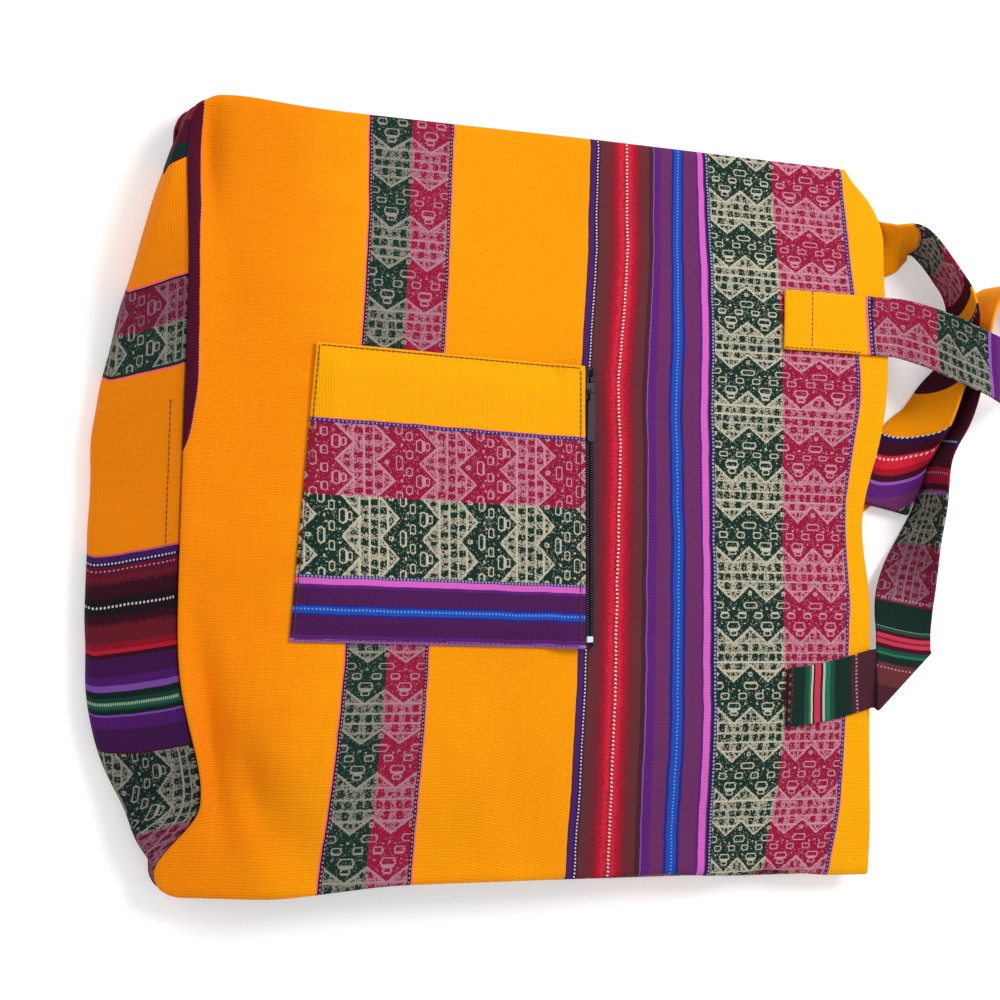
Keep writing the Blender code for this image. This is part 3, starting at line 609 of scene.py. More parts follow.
def backStrapRows():
    runIn = backMouthX + strap["overhang"]
    upperY = strap["upperY"] + strap["jog"]
    top = levelTwo + 2 * strap["foldRadius"]
    edge = (backMouthX - mouthX) / mm
    rows = foldedEnd(strap["upperY"], runIn)
    low = level([p + Vector((0, strap["jog"], 0)) for p in rows[-1]], levelOne)
    rows += between(rows[-1], low, 5) + crease(low, -turnOver, levelTwo - levelOne) + [level(low, levelTwo)]
    out = acrossAt(backMouthX, upperY, levelTwo)
    rows += between(rows[-1], out, 5)[:-1]
    places = [out[1]] + strapPoints(edge, upperY / mm, backRun["middle"])
    rows += sweep(places, [Vector(side) for side in backRun["sides"]])
    first = section(*strapPoints(edge, 0, [(39.5, 8.1, top / mm), (4, 15.3, top / mm)]))
    second = section(*strapPoints(edge, 0, [(38.4, 27.4, levelTwo / mm), (1.6, 42.2, levelTwo / mm)]))
    rows += between(rows[-1], first, 4) + crease(first, Vector((-0.2, -0.98, 0)), levelTwo - top)
    rows += [level(first, levelTwo)]
    rows += between(rows[-1], second, 4) + crease(second, Vector((0.376, 0.927, 0)), levelOne - levelTwo)
    rows += [level(second, levelOne)]
    turn = level(section(*strapPoints(edge, 0, [(2, -1, 0), (-18, 26.5, 0)])), levelOne)
    straight = section((runIn, -0.026, levelOne), (runIn - 2 * strapHalf, -0.020, levelOne))
    last = foldedEnd(strap["lowerY"], runIn)[::-1]
    rows += between(rows[-1], turn, 4) + between(turn, straight, 3) + between(straight, last[0], 5)
    return rows + last[1:]


def strapMesh(name, rows, slotName, node):
    places = strap["across"]
    wide = [[mix(row[1], row[0] if k < 0 else row[2], abs(k)) for k in places] for row in rows]
    lengths = list(zip(*(runLengths(edge) for edge in zip(*wide))))
    middle = len(places) // 2
    run = lengths[-1][middle]
    extra = [length - run for length in lengths[-1]]
    coords = [[(length - more * line[middle] / run, k * strapHalf)
               for length, more, k in zip(line, extra, places)] for line in lengths]
    facing = normals(wide)
    for i, line in enumerate(wide):
        at = coords[i][middle][0]
        inside = (at - strap["calmStart"], run - strap["calmEnd"] - at)
        free = math.prod(ease(past / strap["calmFade"]) for past in inside)
        for j, p in enumerate(line):
            size = strap["ripple"] * free * noise.noise(p / strap["rippleSize"])
            line[j] = p + facing[i][j] * size + toWorld
    piece = clothPiece(name, wide, coords, slotName, node, strap["thick"] - thinner)
    return piece, wide, coords


# Pocket and zip, in the zip's own frame: x away from the pocket, y along the chain, z up

pocket = {
    "width": 0.152, "deepUpper": 0.1495, "deepLower": 0.1645, "skew": 0.0094, "thick": 0.0016,
    "slack": 0.0032, "clothDeep": 0.151, "clothEnd": 0.135, "gap": 0.0003, "lapTop": 0.0009,
    "seamLift": 0.00035, "coilLift": 0.0008, "puffReach": 0.014, "lipStart": 0.0103, "lipReach": 0.012,
    "crispFrom": 0.002, "crispReach": 0.003,
    "ripple": 0.0008, "rippleSize": (0.035, 0.05), "calm": (0.12, 0.1),
    "along": [0, 0.015, 0.03, 0.06, 0.1, 0.15, 0.22, 0.32, 0.44, 0.56, 0.68, 0.78, 0.86, 0.93, 0.97, 1],
    "across": [0, 0.015, 0.03, 0.07, 0.12, 0.2, 0.35, 0.5, 0.65, 0.8, 0.88, 0.93, 0.97, 0.985, 1],
    "stitchIn": 0.010, "stitchMouth": 0.02,
}
zipper = {
    "fromSeam": 0.2212, "offset": 0.0035, "tilt": math.radians(2.3), "length": 0.136,
    "start": -0.0687, "pitch": 0.00125,
    "chain": 0.0054, "coilWidth": 0.0013, "slot": 0.0013, "coilThick": 0.0016, "tape": 0.0006,
    "wire": 0.00027, "eyeFrom": 0.00042, "eyeLong": 0.0007, "eyeTall": 0.00052, "legApart": 0.0003,
}
coilLow = pocket["lapTop"] + 2 * pocket["gap"] + pocket["coilLift"]
tapeLow = coilLow + (zipper["coilThick"] - zipper["tape"]) / 2
pocketLift = tapeLow + zipper["tape"] + pocket["gap"]
pocketEdge = -zipper["chain"] / 2 - pocket["gap"]


def zipFrame():
    tilt = Matrix.Rotation(math.atan(slope), 4, "Y")
    turn = Matrix.Rotation(zipper["tilt"], 4, "Z")
    x, y = seamX + zipper["fromSeam"], zipper["offset"]
    top = Vector((x, y, frontHeight(x, y))) + (tilt @ Vector((0, 0, half, 1))).xyz
    return Matrix.Translation(toWorld) @ Matrix.Translation(top) @ tilt @ turn


def pocketPoint(a, b, lift=0.0):
    deep = mix(pocket["deepLower"], pocket["deepUpper"], b)
    reach = a * deep
    y = mix(-pocket["width"] / 2, pocket["width"] / 2, b) + a * pocket["skew"]
    rim = min(deep - reach, b * pocket["width"], (1 - b) * pocket["width"])
    puff = ease(rim / pocket["puffReach"])
    lip = ease(1 - (reach - pocket["lipStart"]) / pocket["lipReach"])
    z = pocket["seamLift"] + (pocketLift - pocket["seamLift"]) * max(lip, puff * pocket["slack"] / pocketLift)
    crisp = 1 - limit(min(rim, reach + pocket["crispFrom"]) / pocket["crispReach"])
    return Vector((pocketEdge - reach, y, z + pocket["thick"] / 2 - pocket["gap"] * crisp + lift))


def buildPocket(place):
    def pocketCloth(a, b):
        p = pocketPoint(a, b)
        (calmA, calmB), (sizeX, sizeY) = pocket["calm"], pocket["rippleSize"]
        free = min(1.0, (1 - a) / calmA, a / calmA, b / calmB, (1 - b) / calmB)
        p.z += pocket["ripple"] * free * noise.noise(Vector((p.x / sizeX, p.y / sizeY, 9.1)))
        deep = mix(pocket["deepLower"], pocket["deepUpper"], b)
        return place @ p, (pocket["clothEnd"] - pocket["clothDeep"] * b, a * deep)

    rows, coords = gridOf(finer(pocket["along"], 3), finer(pocket["across"], 3), pocketCloth)
    piece = clothPiece("pocketCloth", rows, coords, "pocket_cloth", "front_pocket", pocket["thick"] - thinner)
    piece.data.flip_normals()
    return piece


# Each turn of the coil is a hairpin of wire, its bend at the middle of the chain
def coilRow(name, side, place, node):
    outer, tall = zipper["slot"] / 2 + zipper["coilWidth"], zipper["eyeTall"]
    points = [Vector((outer, zipper["legApart"], -tall))]
    for angle in even(8, -math.pi / 2, math.pi / 2):
        reach = zipper["eyeFrom"] + zipper["eyeLong"] * (1 - math.cos(angle))
        points.append(Vector((reach, 0, tall * math.sin(angle))))
    points.append(Vector((outer, -zipper["legApart"], tall)))
    hairpin = []
    for j, p in enumerate(points):
        ahead = (points[min(j + 1, len(points) - 1)] - points[max(j - 1, 0)]).normalized()
        lift = ahead.cross(Vector((0, 1, 0))).normalized()
        hairpin.append(ring(p, lift.cross(ahead), lift, zipper["wire"]))
    turns = []
    for i in range(int(zipper["length"] / zipper["pitch"])):
        y = zipper["start"] + (i + (0.5 if side > 0 else 0.0)) * zipper["pitch"]
        middle = Vector((0, y, coilLow + zipper["coilThick"] / 2))
        turns.append([[place @ (Vector((q.x * side, q.y, q.z)) + middle) for q in points]
                      for points in hairpin])
    return tubePiece(name, turns, node)


# Stitches: small capsules of thread along a line

thread = {
    "radius": 0.00028, "length": 0.0028, "pitch": 0.0029, "rise": 0.0002, "sink": 0.0001,
    # along the stitch, thickness, height
    "rings": [(0.0, 0.35, -0.9), (0.18, 0.95, 0.1), (0.5, 1.05, 0.45), (0.82, 0.95, 0.1), (1.0, 0.35, -0.9)],
}


def stitchLine(name, runs):
    radius, stitches = thread["radius"], []
    for points, ups in runs:
        marks = runLengths(points)

        def at(distance):
            i = next((i for i, mark in enumerate(marks[1:]) if distance <= mark), len(marks) - 2)
            share = (distance - marks[i]) / max(marks[i + 1] - marks[i], 1e-9)
            return mix(points[i], points[i + 1], share), mix(ups[i], ups[i + 1], share).normalized()

        for i in range(int(marks[-1] / thread["pitch"])):
            start, up = at(i * thread["pitch"])
            end = at(min(i * thread["pitch"] + thread["length"], marks[-1]))[0]
            side = (end - start).cross(up).normalized()
            stitches.append([ring(mix(start, end, share) + up * (radius * lift), side, up, radius * size)
                             for share, size, lift in thread["rings"]])
    return tubePiece(name, stitches)


# Points a little above a cloth, at the places in its grid that path gives
def surfaceRun(rows, path, lift, steps=60):
    facing = normals(rows)
    points, ups = [], []
    for share in even(steps):
        r, c = path(share)
        r = min(max(r, 0.0), len(rows) - 1.001)
        c = min(max(c, 0.0), len(rows[0]) - 1.001)
        i, j = int(r), int(c)
        below, above = (mix(row[j], row[j + 1], c - j) for row in rows[i:i + 2])
        points.append(mix(below, above, r - i) + facing[i][j] * lift)
        ups.append(facing[i][j] * math.copysign(1, lift))
    return points, ups


def gridPlace(marks, target):
    i = max(n for n in range(len(marks) - 1) if marks[n] <= target)
    return i + (target - marks[i]) / (marks[i + 1] - marks[i])


def pocketStitches(place):
    up = (place.to_3x3() @ Vector((0, 0, 1))).normalized()
    near, far, mouth = pocket["stitchIn"], 1 - pocket["stitchIn"], pocket["stitchMouth"]
    corners = [(mouth, far), (far, far), (far, near), (mouth, near), (mouth, far)]
    runs = []
    for (a0, b0), (a1, b1) in zip(corners, corners[1:]):
        height = pocket["thick"] / 2 + thread["rise"]
        points = [place @ pocketPoint(mix(a0, a1, k), mix(b0, b1, k), height) for k in even(50)]
        runs.append((points, [up] * len(points)))
    return stitchLine("pocketStitches", runs)


def tuckStitches(rows, coords):
    middle = len(rows) // 2
    atFront = rows[middle][-1].z > rows[middle][0].z
    edges = [row[-1 if atFront else 0] for row in rows]
    picks = [i for i, edge in enumerate(edges) if gusset["tuckLow"] < edge.y < gusset["tuckHigh"]
             and edge.x < seamX + toWorld.x + gusset["tuckReach"]]

    def path(share):
        row = mix(picks[0], picks[-1], share)
        marks = [across for along, across in coords[int(row)]]
        return row, gridPlace(marks, marks[-1] - gusset["tuckInset"] if atFront else gusset["tuckInset"])

    outward = 1 if normals(rows)[middle][len(rows[0]) // 2].x < 0 else -1
    run = surfaceRun(rows, path, outward * gusset["thick"] / 2)
    return stitchLine("gussetStitches", [run])


def strapStitches(rows, coords):
    runAt = [line[len(line) // 2][0] for line in coords]
    last = len(rows[0]) - 1
    lift = strap["thick"] / 2 - thread["sink"]
    top = lift if normals(rows)[4][5].z > 0 else -lift

    def across(at, height):
        row = gridPlace(runAt, at)
        return surfaceRun(rows, lambda share: (row, share * last), height, 14)

    def nearEdge(share):
        return gridPlace(runAt, mix(*strap["edgeStitch"], share)), strap["edgeShare"] * last

    edge = surfaceRun(rows, nearEdge, top)
    upper = stitchLine("frontStrapStitches", [edge, across(strap["crossStitch"], top)])
    ends = [across(runAt[-1] - strap["endStitch"], height) for height in (lift, -lift)]
    ends = [run for run in ends if run[0][5].z > rows[-1][5].z]
    return upper, stitchLine("frontStrapEndStitches", ends)


# Node trees, written as plain sums of their wires

def linear(colour):
    shares = [value / 255 for value in colour]
    return tuple(v / 12.92 if v <= 0.04045 else ((v + 0.055) / 1.055) ** 2.4 for v in shares)


class Wire:
    def __init__(self, graph, socket):
        self.graph, self.socket = graph, socket


class Graph:
    def __init__(self, tree):
        self.tree = tree

    def put(self, socket, value):
        if isinstance(value, Wire):
            self.tree.links.new(value.socket, socket)
        elif value is not None:
            plainColour = socket.type == "RGBA" and len(value) == 3
            socket.default_value = (*value, 1) if plainColour else value

    def fill(self, sockets, values):
        for key, value in values.items():
            self.put(sockets[key], value)

    def node(self, kind, values, *outs, **settings):
        made = self.tree.nodes.new(kind)
        for key, value in settings.items():
            setattr(made, key, value)
        self.fill(made.inputs, values)
        wires = [Wire(self, made.outputs[out]) for out in outs or (0,)]
        return wires if len(wires) > 1 else wires[0]

    def maths(self, operation, *values):
        return self.node("ShaderNodeMath", dict(enumerate(values)), operation=operation)

    def most(self, first, *others):
        for other in others:
            first = self.maths("MAXIMUM", first, other)
        return first

    def away(self, value, place):
        return self.maths("ABSOLUTE", value - place)

    # how far a repeating value is from the nearest whole number
    def fromWhole(self, value):
        return self.away(self.maths("FRACT", value + 0.5), 0.5)

    def blend(self, share, a, b, kind="RGBA", mode="MIX"):
        first, second, out = {"RGBA": (6, 7, 2), "FLOAT": (2, 3, 0), "VECTOR": (4, 5, 1)}[kind]
        values = {0: share, first: a, second: b}
        return self.node("ShaderNodeMix", values, out, data_type=kind, blend_type=mode)

    def join(self, *values):
        return self.node("ShaderNodeCombineXYZ", dict(enumerate(values)))

    def split(self, vector):
        return self.node("ShaderNodeSeparateXYZ", {0: vector}, 0, 1, 2)

    def mottle(self, x, y, detail):
        values = {"Vector": self.join(x, y), "Scale": 1.0, "Detail": detail}
        return self.node("ShaderNodeTexNoise", values, "Fac", noise_dimensions="2D") - 0.5

    def speck(self, vector):
        return self.node("ShaderNodeTexWhiteNoise", {"Vector": vector}, "Value", noise_dimensions="2D")

    def soften(self, value, low, high, start=0.0, end=1.0):
        values = {"Value": value, "From Min": low, "From Max": high, "To Min": start, "To Max": end}
        return self.node("ShaderNodeMapRange", values, interpolation_type="SMOOTHSTEP")

    def tint(self, colour, strength):
        return self.node("ShaderNodeVectorMath", {0: colour, "Scale": strength}, operation="SCALE")

    def relief(self, height, strength, distance):
        return self.node("ShaderNodeBump", {"Strength": strength, "Distance": distance, "Height": height})

    def group(self, name, values, *outs):
        return self.node("ShaderNodeGroup", values, *outs, node_tree=bpy.data.node_groups[name])


def addSign(sign, operation):
    setattr(Wire, f"__{sign}__", lambda self, other: self.graph.maths(operation, self, other))
    setattr(Wire, f"__r{sign}__", lambda self, other: self.graph.maths(operation, other, self))


signs = {"add": "ADD", "sub": "SUBTRACT", "mul": "MULTIPLY", "truediv": "DIVIDE", "pow": "POWER",
         "gt": "GREATER_THAN", "lt": "LESS_THAN"}
for sign, operation in signs.items():
    addSign(sign, operation)


def newGroup(name, inputs, outputs):
    tree = bpy.data.node_groups.new(name, "ShaderNodeTree")
    kinds = {1: "NodeSocketFloat", 3: "NodeSocketVector", 4: "NodeSocketColor"}
    for way, sockets in (("INPUT", inputs), ("OUTPUT", outputs)):
        for label, value in sockets.items():
            kind = kinds[len(value) if isinstance(value, tuple) else 1]
            tree.interface.new_socket(label, in_out=way, socket_type=kind).default_value = value
    graph = Graph(tree)
    given = {s.name: Wire(graph, s) for s in tree.nodes.new("NodeGroupInput").outputs}
    return graph, given, tree.nodes.new("NodeGroupOutput").inputs


def buildWovenShape():
    g, given, out = newGroup("Woven shape", {
        "Across": 0, "Along": 0, "Place across": 0, "Place along": 0, "Half across": 0.3, "Half along": 0.04,
        "Line across": 0.07, "Line along": 0.0145}, {"Fill": 0, "Ring": 0})
    da = g.away(given["Across"], given["Place across"])
    dw = g.fromWhole(given["Along"] - given["Place along"])

    def within(lineAcross, lineAlong):
        tall = dw / (given["Half along"] - lineAlong)
        return g.most(tall, tall * 0.25 + da / (given["Half across"] - lineAcross)) < 1.05

    fill = within(0.0, 0.0)
    g.put(out["Fill"], fill)
    g.put(out["Ring"], fill * (1.0 - within(given["Line across"], given["Line along"])))


# Figures in the zigzag: place across a tooth, from 0 at its tip to 1 at its root, and along it in shares of
# the period, then half sizes the same way
figures = {
    "rings": [
        (1.0, 0.458, 0.42, 0.042), (0.51, 0.333, 0.26, 0.038), (0.0, 0.200, 0.38, 0.050),
        (0.0, 0.115, 0.24, 0.032), (1.0, 0.605, 0.12, 0.026)],
    "bars": [
        (0.0, 0.168, 0.34, 0.008), (0.30, 0.40, 0.05, 0.010), (0.66, 0.235, 0.05, 0.010),
        (0.0, 0.42, 0.07, 0.010)],
    "blots": [
        (0.30, 0.594, 0.09, 0.022), (0.0, 0.600, 0.07, 0.020), (0.35, 0.697, 0.17, 0.046),
        (0.30, 0.815, 0.165, 0.040), (0.72, 0.815, 0.165, 0.040), (0.68, 0.938, 0.17, 0.048),
        (0.20, 0.925, 0.09, 0.022), (0.80, 1.075, 0.11, 0.038), (1.0, 0.735, 0.06, 0.02)],
    "lines": [0.645, 0.755, 0.872, 0.995], "lineWidth": 0.009, "border": 0.030,
}


def buildZigzag():
    g, given, out = newGroup(
        "Zigzag weave", {"Tooth": 0, "Phase": 0, "Rise": 0.24, "Cell": (0, 0, 0)}, {"Light": 0})
    a = g.away(g.maths("FRACT", given["Tooth"]), 0.5) * 2.0
    w = given["Phase"]
    s = g.maths("FRACT", w - given["Rise"] * a)
    grain = g.speck(given["Cell"])

    def gather(key, kind):
        names = ("Place across", "Place along", "Half across", "Half along")
        return g.most(*[g.group("Woven shape", {"Across": a, "Along": w, **dict(zip(names, figure))}, kind)
                        for figure in figures[key]])

    blots = gather("blots", "Fill")
    border = g.maths("MINIMUM", s - 0.5, 1.0 - s) < figures["border"]
    lines = g.most(*[g.fromWhole(w - place) < figures["lineWidth"] for place in figures["lines"]])
    ground = g.most((grain < 0.74) * (1.0 - blots), blots * (grain < 0.08))
    lit = g.most(border, lines, ground * 0.78)
    dark = g.most(gather("rings", "Ring"), gather("bars", "Fill"), (grain > 0.92) * 0.5)
    g.put(out["Light"], g.blend(s > 0.5, dark, lit, "FLOAT"))


def buildDotRow():
    g, given, out = newGroup("Row of dots", {
        "Along": 0, "Across": 0, "Place": 0, "Width": 1, "Pitch": 2.4, "Length": 1.2}, {"Mask": 0})
    near = g.away(given["Along"], given["Place"]) / (given["Width"] * 0.5)
    step = g.away(g.maths("FRACT", given["Across"] / given["Pitch"]), 0.5)
    step = step * given["Pitch"] / (given["Length"] * 0.5)
    g.put(out["Mask"], g.soften((near**3.0 + step**3.0) ** 0.3333, 1.15, 0.8))


def buildRibs():
    g, given, out = newGroup("Ribbed weave", {
        "Along": 0, "Across": 0, "Rib pitch": 1.45, "Thread pitch": 0.62,
        "Colour": (1, 1, 1, 1), "Rib shade": 0.16, "Streaks": 0.12}, {"Colour": (1, 1, 1, 1), "Height": 0})
    along, across = given["Along"], given["Across"]

    def wave(turns):
        return g.maths("COSINE", turns * math.tau) * 0.5 + 0.5

    wander = g.mottle(along * 0.09, across * 0.35, 3.0) * 1.3
    rib = wave((across + wander) / given["Rib pitch"]) ** 0.7
    fine = g.mottle(along * 1.1, across * 1.1, 2.0)
    streak = g.mottle(along * 0.55, across * 0.035, 4.0) * given["Streaks"]
    blotch = g.mottle(along * 0.018, across * 0.014, 3.0) * given["Streaks"]
    # the ribs' valleys darker by Rib shade: painted shade between the ribs
    tone = streak + blotch + fine * 0.10 + 1.0 - (1.0 - rib) * given["Rib shade"]
    g.put(out["Colour"], g.tint(given["Colour"], tone))
    g.put(out["Height"], rib + wave(along / given["Thread pitch"]) * 0.22 + (fine + 0.5) * 0.35)


# Cloth colours, in 0-255 as seen, and the order of the woven stripes

dye = {
    # painted shade: the darker copy of orange here paints the gusset's shade; deepCrimson, deepPlum and ash
    # do the same on the gusset and are also true stripe colours of the pocket and front strap
    "orange": (255, 156, 0), "amber": (255, 172, 0), "shadedOrange": (252, 138, 0), "crimson": (150, 22, 56),
    "green": (20, 48, 40), "navy": (40, 24, 76), "violet": (72, 34, 104), "seam": (76, 14, 40),
    "ash": (146, 108, 124), "deepCrimson": (114, 22, 50), "pink": (246, 110, 110), "orchid": (216, 100, 196),
    "plum": (106, 46, 98), "deepPlum": (76, 26, 84), "purple": (94, 32, 118), "lilac": (150, 92, 186),
    "blue": (30, 76, 178), "deepBlue": (42, 36, 124), "brown": (100, 46, 50), "darkBrown": (72, 34, 44),
    "red": (168, 24, 44), "wine": (124, 32, 46), "scarlet": (222, 34, 58), "maroon": (66, 14, 32),
    "black": (30, 22, 28), "brightGreen": (34, 112, 82), "midGreen": (22, 76, 58), "blackGreen": (18, 42, 36),
    "pale": (222, 214, 216), "paleBlue": (150, 160, 196), "sky": (112, 150, 226), "rose": (204, 146, 164),
    "coral": (200, 54, 82), "cream": (204, 196, 172), "greyCream": (158, 152, 138),
    "greyRose": (178, 134, 150), "glitter": (180, 186, 166),
}
weave = {
    # woven length from the mouth's edge in mm, and the colour from there on
    "stripes": [
        (0, "amber"), (21.2, "pink"), (22, "violet"), (24, "crimson"), (60, "green"), (100.6, "navy"),
        (103, "plum"), (104, "orchid"), (107.4, "purple"), (109, "plum"), (117.4, "deepBlue"),
        (118.6, "blue"), (123.2, "deepBlue"), (124.4, "plum"), (131.5, "purple"), (135.4, "lilac"),
        (136.7, "darkBrown"), (139, "brown"), (144.6, "wine"), (147.4, "red"), (150.6, "scarlet"),
        (153.4, "wine"), (155.5, "scarlet"), (158.4, "red"), (161.2, "wine"), (164.5, "brown"),
        (170.2, "darkBrown"), (171.4, "navy"), (173, "violet"), (175.8, "darkBrown"), (176.8, "orange"),
        (254.8, "pink"), (255.8, "maroon"), (257.6, "crimson"), (278, "green"), (298.8, "maroon"),
        (300.4, "pink"), (301.2, "orange"), (389.5, "pink"), (390.3, "violet"), (393, "navy"),
        (395.4, "crimson"), (400.4, "wine"), (404, "maroon"), (411, "black"), (421, "maroon"), (425, "wine"),
        (434, "red"), (437.5, "scarlet"), (439, "maroon"), (441, "plum"), (450.5, "purple"), (455.6, "lilac"),
        (457.8, "blackGreen"), (461.6, "midGreen"), (463.4, "brightGreen"), (466.4, "midGreen"),
        (468, "blackGreen"), (469.8, "lilac"), (471.2, "purple"), (477, "plum"), (488.4, "rose"),
        (489.2, "maroon"), (490, "green"), (530, "crimson"), (568, "blackGreen"), (580, "maroon"),
        (584, "scarlet"), (592, "maroon")],
    # lanes of zigzags: first and last place, teeth, light thread, period, start, rise of a tooth
    "lanes": [
        (24, 60, 2, "rose", 40.4, 8.0, 0.2), (60, 100.6, 2, "cream", 40.4, 8.0, 0.2),
        (257.6, 278, 1, "greyRose", 46.5, 12.0, 0.17), (278, 298.8, 1, "greyCream", 46.5, 12.0, 0.17),
        (490, 530, 2, "greyCream", 42.0, 14.0, 0.2), (530, 568, 2, "greyRose", 42.0, 14.0, 0.2)],
    # rows of dots: place, width, pitch, length, colour
    "dots": [
        (23.1, 0.8, 2.3, 1.0, "paleBlue"), (101.6, 1.2, 1.9, 1.2, "paleBlue"), (121, 0.9, 1.9, 0.9, "sky"),
        (136, 1.2, 1.2, 0.5, "violet"), (154.4, 1.5, 2.1, 1.0, "pale"), (172.1, 0.9, 1.9, 1.0, "pale"),
        (256.8, 0.7, 2.2, 1.1, "paleBlue"), (299.5, 0.7, 2.2, 1.1, "paleBlue"),
        (394.4, 1.0, 2.1, 1.1, "pale"), (398, 0.8, 2.6, 1.2, "rose"), (416.3, 1.3, 2.3, 1.2, "pale"),
        (465, 1.6, 1.3, 0.8, "glitter"), (581.5, 1.2, 1.6, 1.0, "glitter")],
    "softShades": [(141, 169), (401, 433)],
    "ribPitch": 1.45, "ribShade": 0.09, "bump": 0.4, "roughness": 0.85, "sheen": 0.02,
}


def newMaterial(name):
    made = bpy.data.materials.new(name)
    made.use_nodes = True
    return made, Graph(made.node_tree), made.node_tree.nodes["Principled BSDF"].inputs


def stripeColour(g, along, stripes, low, high):
    ends = [start for start, name in stripes[1:]] + [math.inf]
    wanted = [stripe for stripe, end in zip(stripes, ends) if stripe[0] < high and end > low]
    result = None
    for i in range(0, len(wanted), 30):  # a colour ramp takes no more than 32 stops
        part = wanted[i:i + 30]
        start, size = part[0][0], part[-1][0] + 1.0 - part[0][0]
        ramp = g.node("ShaderNodeValToRGB", {0: (along - start) / size}, "Color")
        band = ramp.socket.node.color_ramp
        band.interpolation = "CONSTANT"
        band.elements.remove(band.elements[1])
        for place, name in part:
            stop = band.elements[0] if place == start else band.elements.new((place - start) / size)
            stop.color = (*linear(dye[name]), 1)
        result = g.blend(along > start, result, ramp) if result else ramp
    return result


# low and high bound the part of the weave that shows; the last argument is painted shade: where it starts
# and ends, its colour and how far it wavers
def clothMaterial(name, low, high, stripes=weave["stripes"], lanes=weave["lanes"], dots=weave["dots"],
                  fold=None, paintedShade=None):
    made, g, shader = newMaterial(name)
    along, across = [wire * 1000.0 for wire in g.split(g.node("ShaderNodeUVMap", {}, uv_map="cloth"))[:2]]
    if fold:
        along = g.maths("PINGPONG", along, fold)
    drift = g.mottle(along * 0.02, across * 0.06, 2.0) * 1.1
    place = along + drift
    fibre = g.speck(g.join(g.maths("SNAP", along, 0.4), g.maths("SNAP", across, 0.5)))
    loose = [(along > start) * (along < end) for start, end in weave["softShades"]]
    fuzz = (fibre - 0.5) * ((loose[0] + loose[1]) * 3.0)
    colour = stripeColour(g, place + fuzz, stripes, low, high)
    # painted shade: the colour multiplied darker over a band of places in the weave
    if paintedShade:
        start, end, shade, waver = paintedShade
        colour = g.blend(g.soften(along + drift * waver, start, end), colour, shade, mode="MULTIPLY")

    snapAlong, snapAcross = g.maths("SNAP", place, 0.5), g.maths("SNAP", across, 0.55)
    inside = None
    for start, end, teeth, yarn, period, first, rise in lanes:
        if start < high and end > low:
            here = g.join((snapAlong - start) / ((end - start) / teeth), (snapAcross - first) / period, rise)
            within = (place > start) * (place < end)
            facts = g.blend(within, facts, here, "VECTOR") if inside else here
            light = g.blend(within, light, linear(dye[yarn])) if inside else linear(dye[yarn])
            inside = g.most(inside, within) if inside else within
    if inside:
        tooth, phase, rise = g.split(facts)
        relief = inside * g.group("Zigzag weave", {
            "Tooth": tooth, "Phase": phase, "Rise": rise, "Cell": g.join(snapAlong, snapAcross)}, "Light")
        colour = g.blend(relief * 0.9, colour, light)

    for at, width, pitch, length, yarn in dots:
        if low < at < high:
            mask = g.group("Row of dots", {"Along": place, "Across": across, "Place": at, "Width": width,
                                           "Pitch": pitch, "Length": length}, "Mask")
            colour = g.blend(mask * 0.95, colour, linear(dye[yarn]))
    colour, height = g.group("Ribbed weave", {
        "Along": along, "Across": across, "Rib pitch": weave["ribPitch"], "Rib shade": weave["ribShade"],
        "Colour": colour}, "Colour", "Height")
    if inside:
        height = relief * 0.6 + height
    g.fill(shader, {
        "Base Color": colour, "Normal": g.relief(height, weave["bump"], 0.0004),
        "Roughness": weave["roughness"], "Specular IOR Level": 0.1,
        "Sheen Weight": weave["sheen"], "Sheen Roughness": 0.5})
    return made


def plainMaterial(name, colour, roughness, metallic=0.0, speck=0.08, scale=900.0, bumpSize=0.1):
    made, g, shader = newMaterial(name)
    where = g.node("ShaderNodeTexCoord", {}, "Object")
    grain = g.node("ShaderNodeTexNoise", {"Vector": where, "Scale": scale, "Detail": 3.0}, "Fac")
    g.fill(shader, {
        "Base Color": g.tint(linear(colour), (grain - 0.5) * (speck * 2) + 1.0), "Metallic": metallic,
        "Roughness": (grain - 0.5) * 0.25 + roughness, "Normal": g.relief(grain, bumpSize, 0.0002)})
    return made


def dress(piece, material):
    piece.data.materials.clear()
    piece.data.materials.append(material)


def before(rows, place):
    return [row for row in rows if row[0] < place]


# The same for the pocket, beyond its zigzags, and for each strap, in mm from its upper end

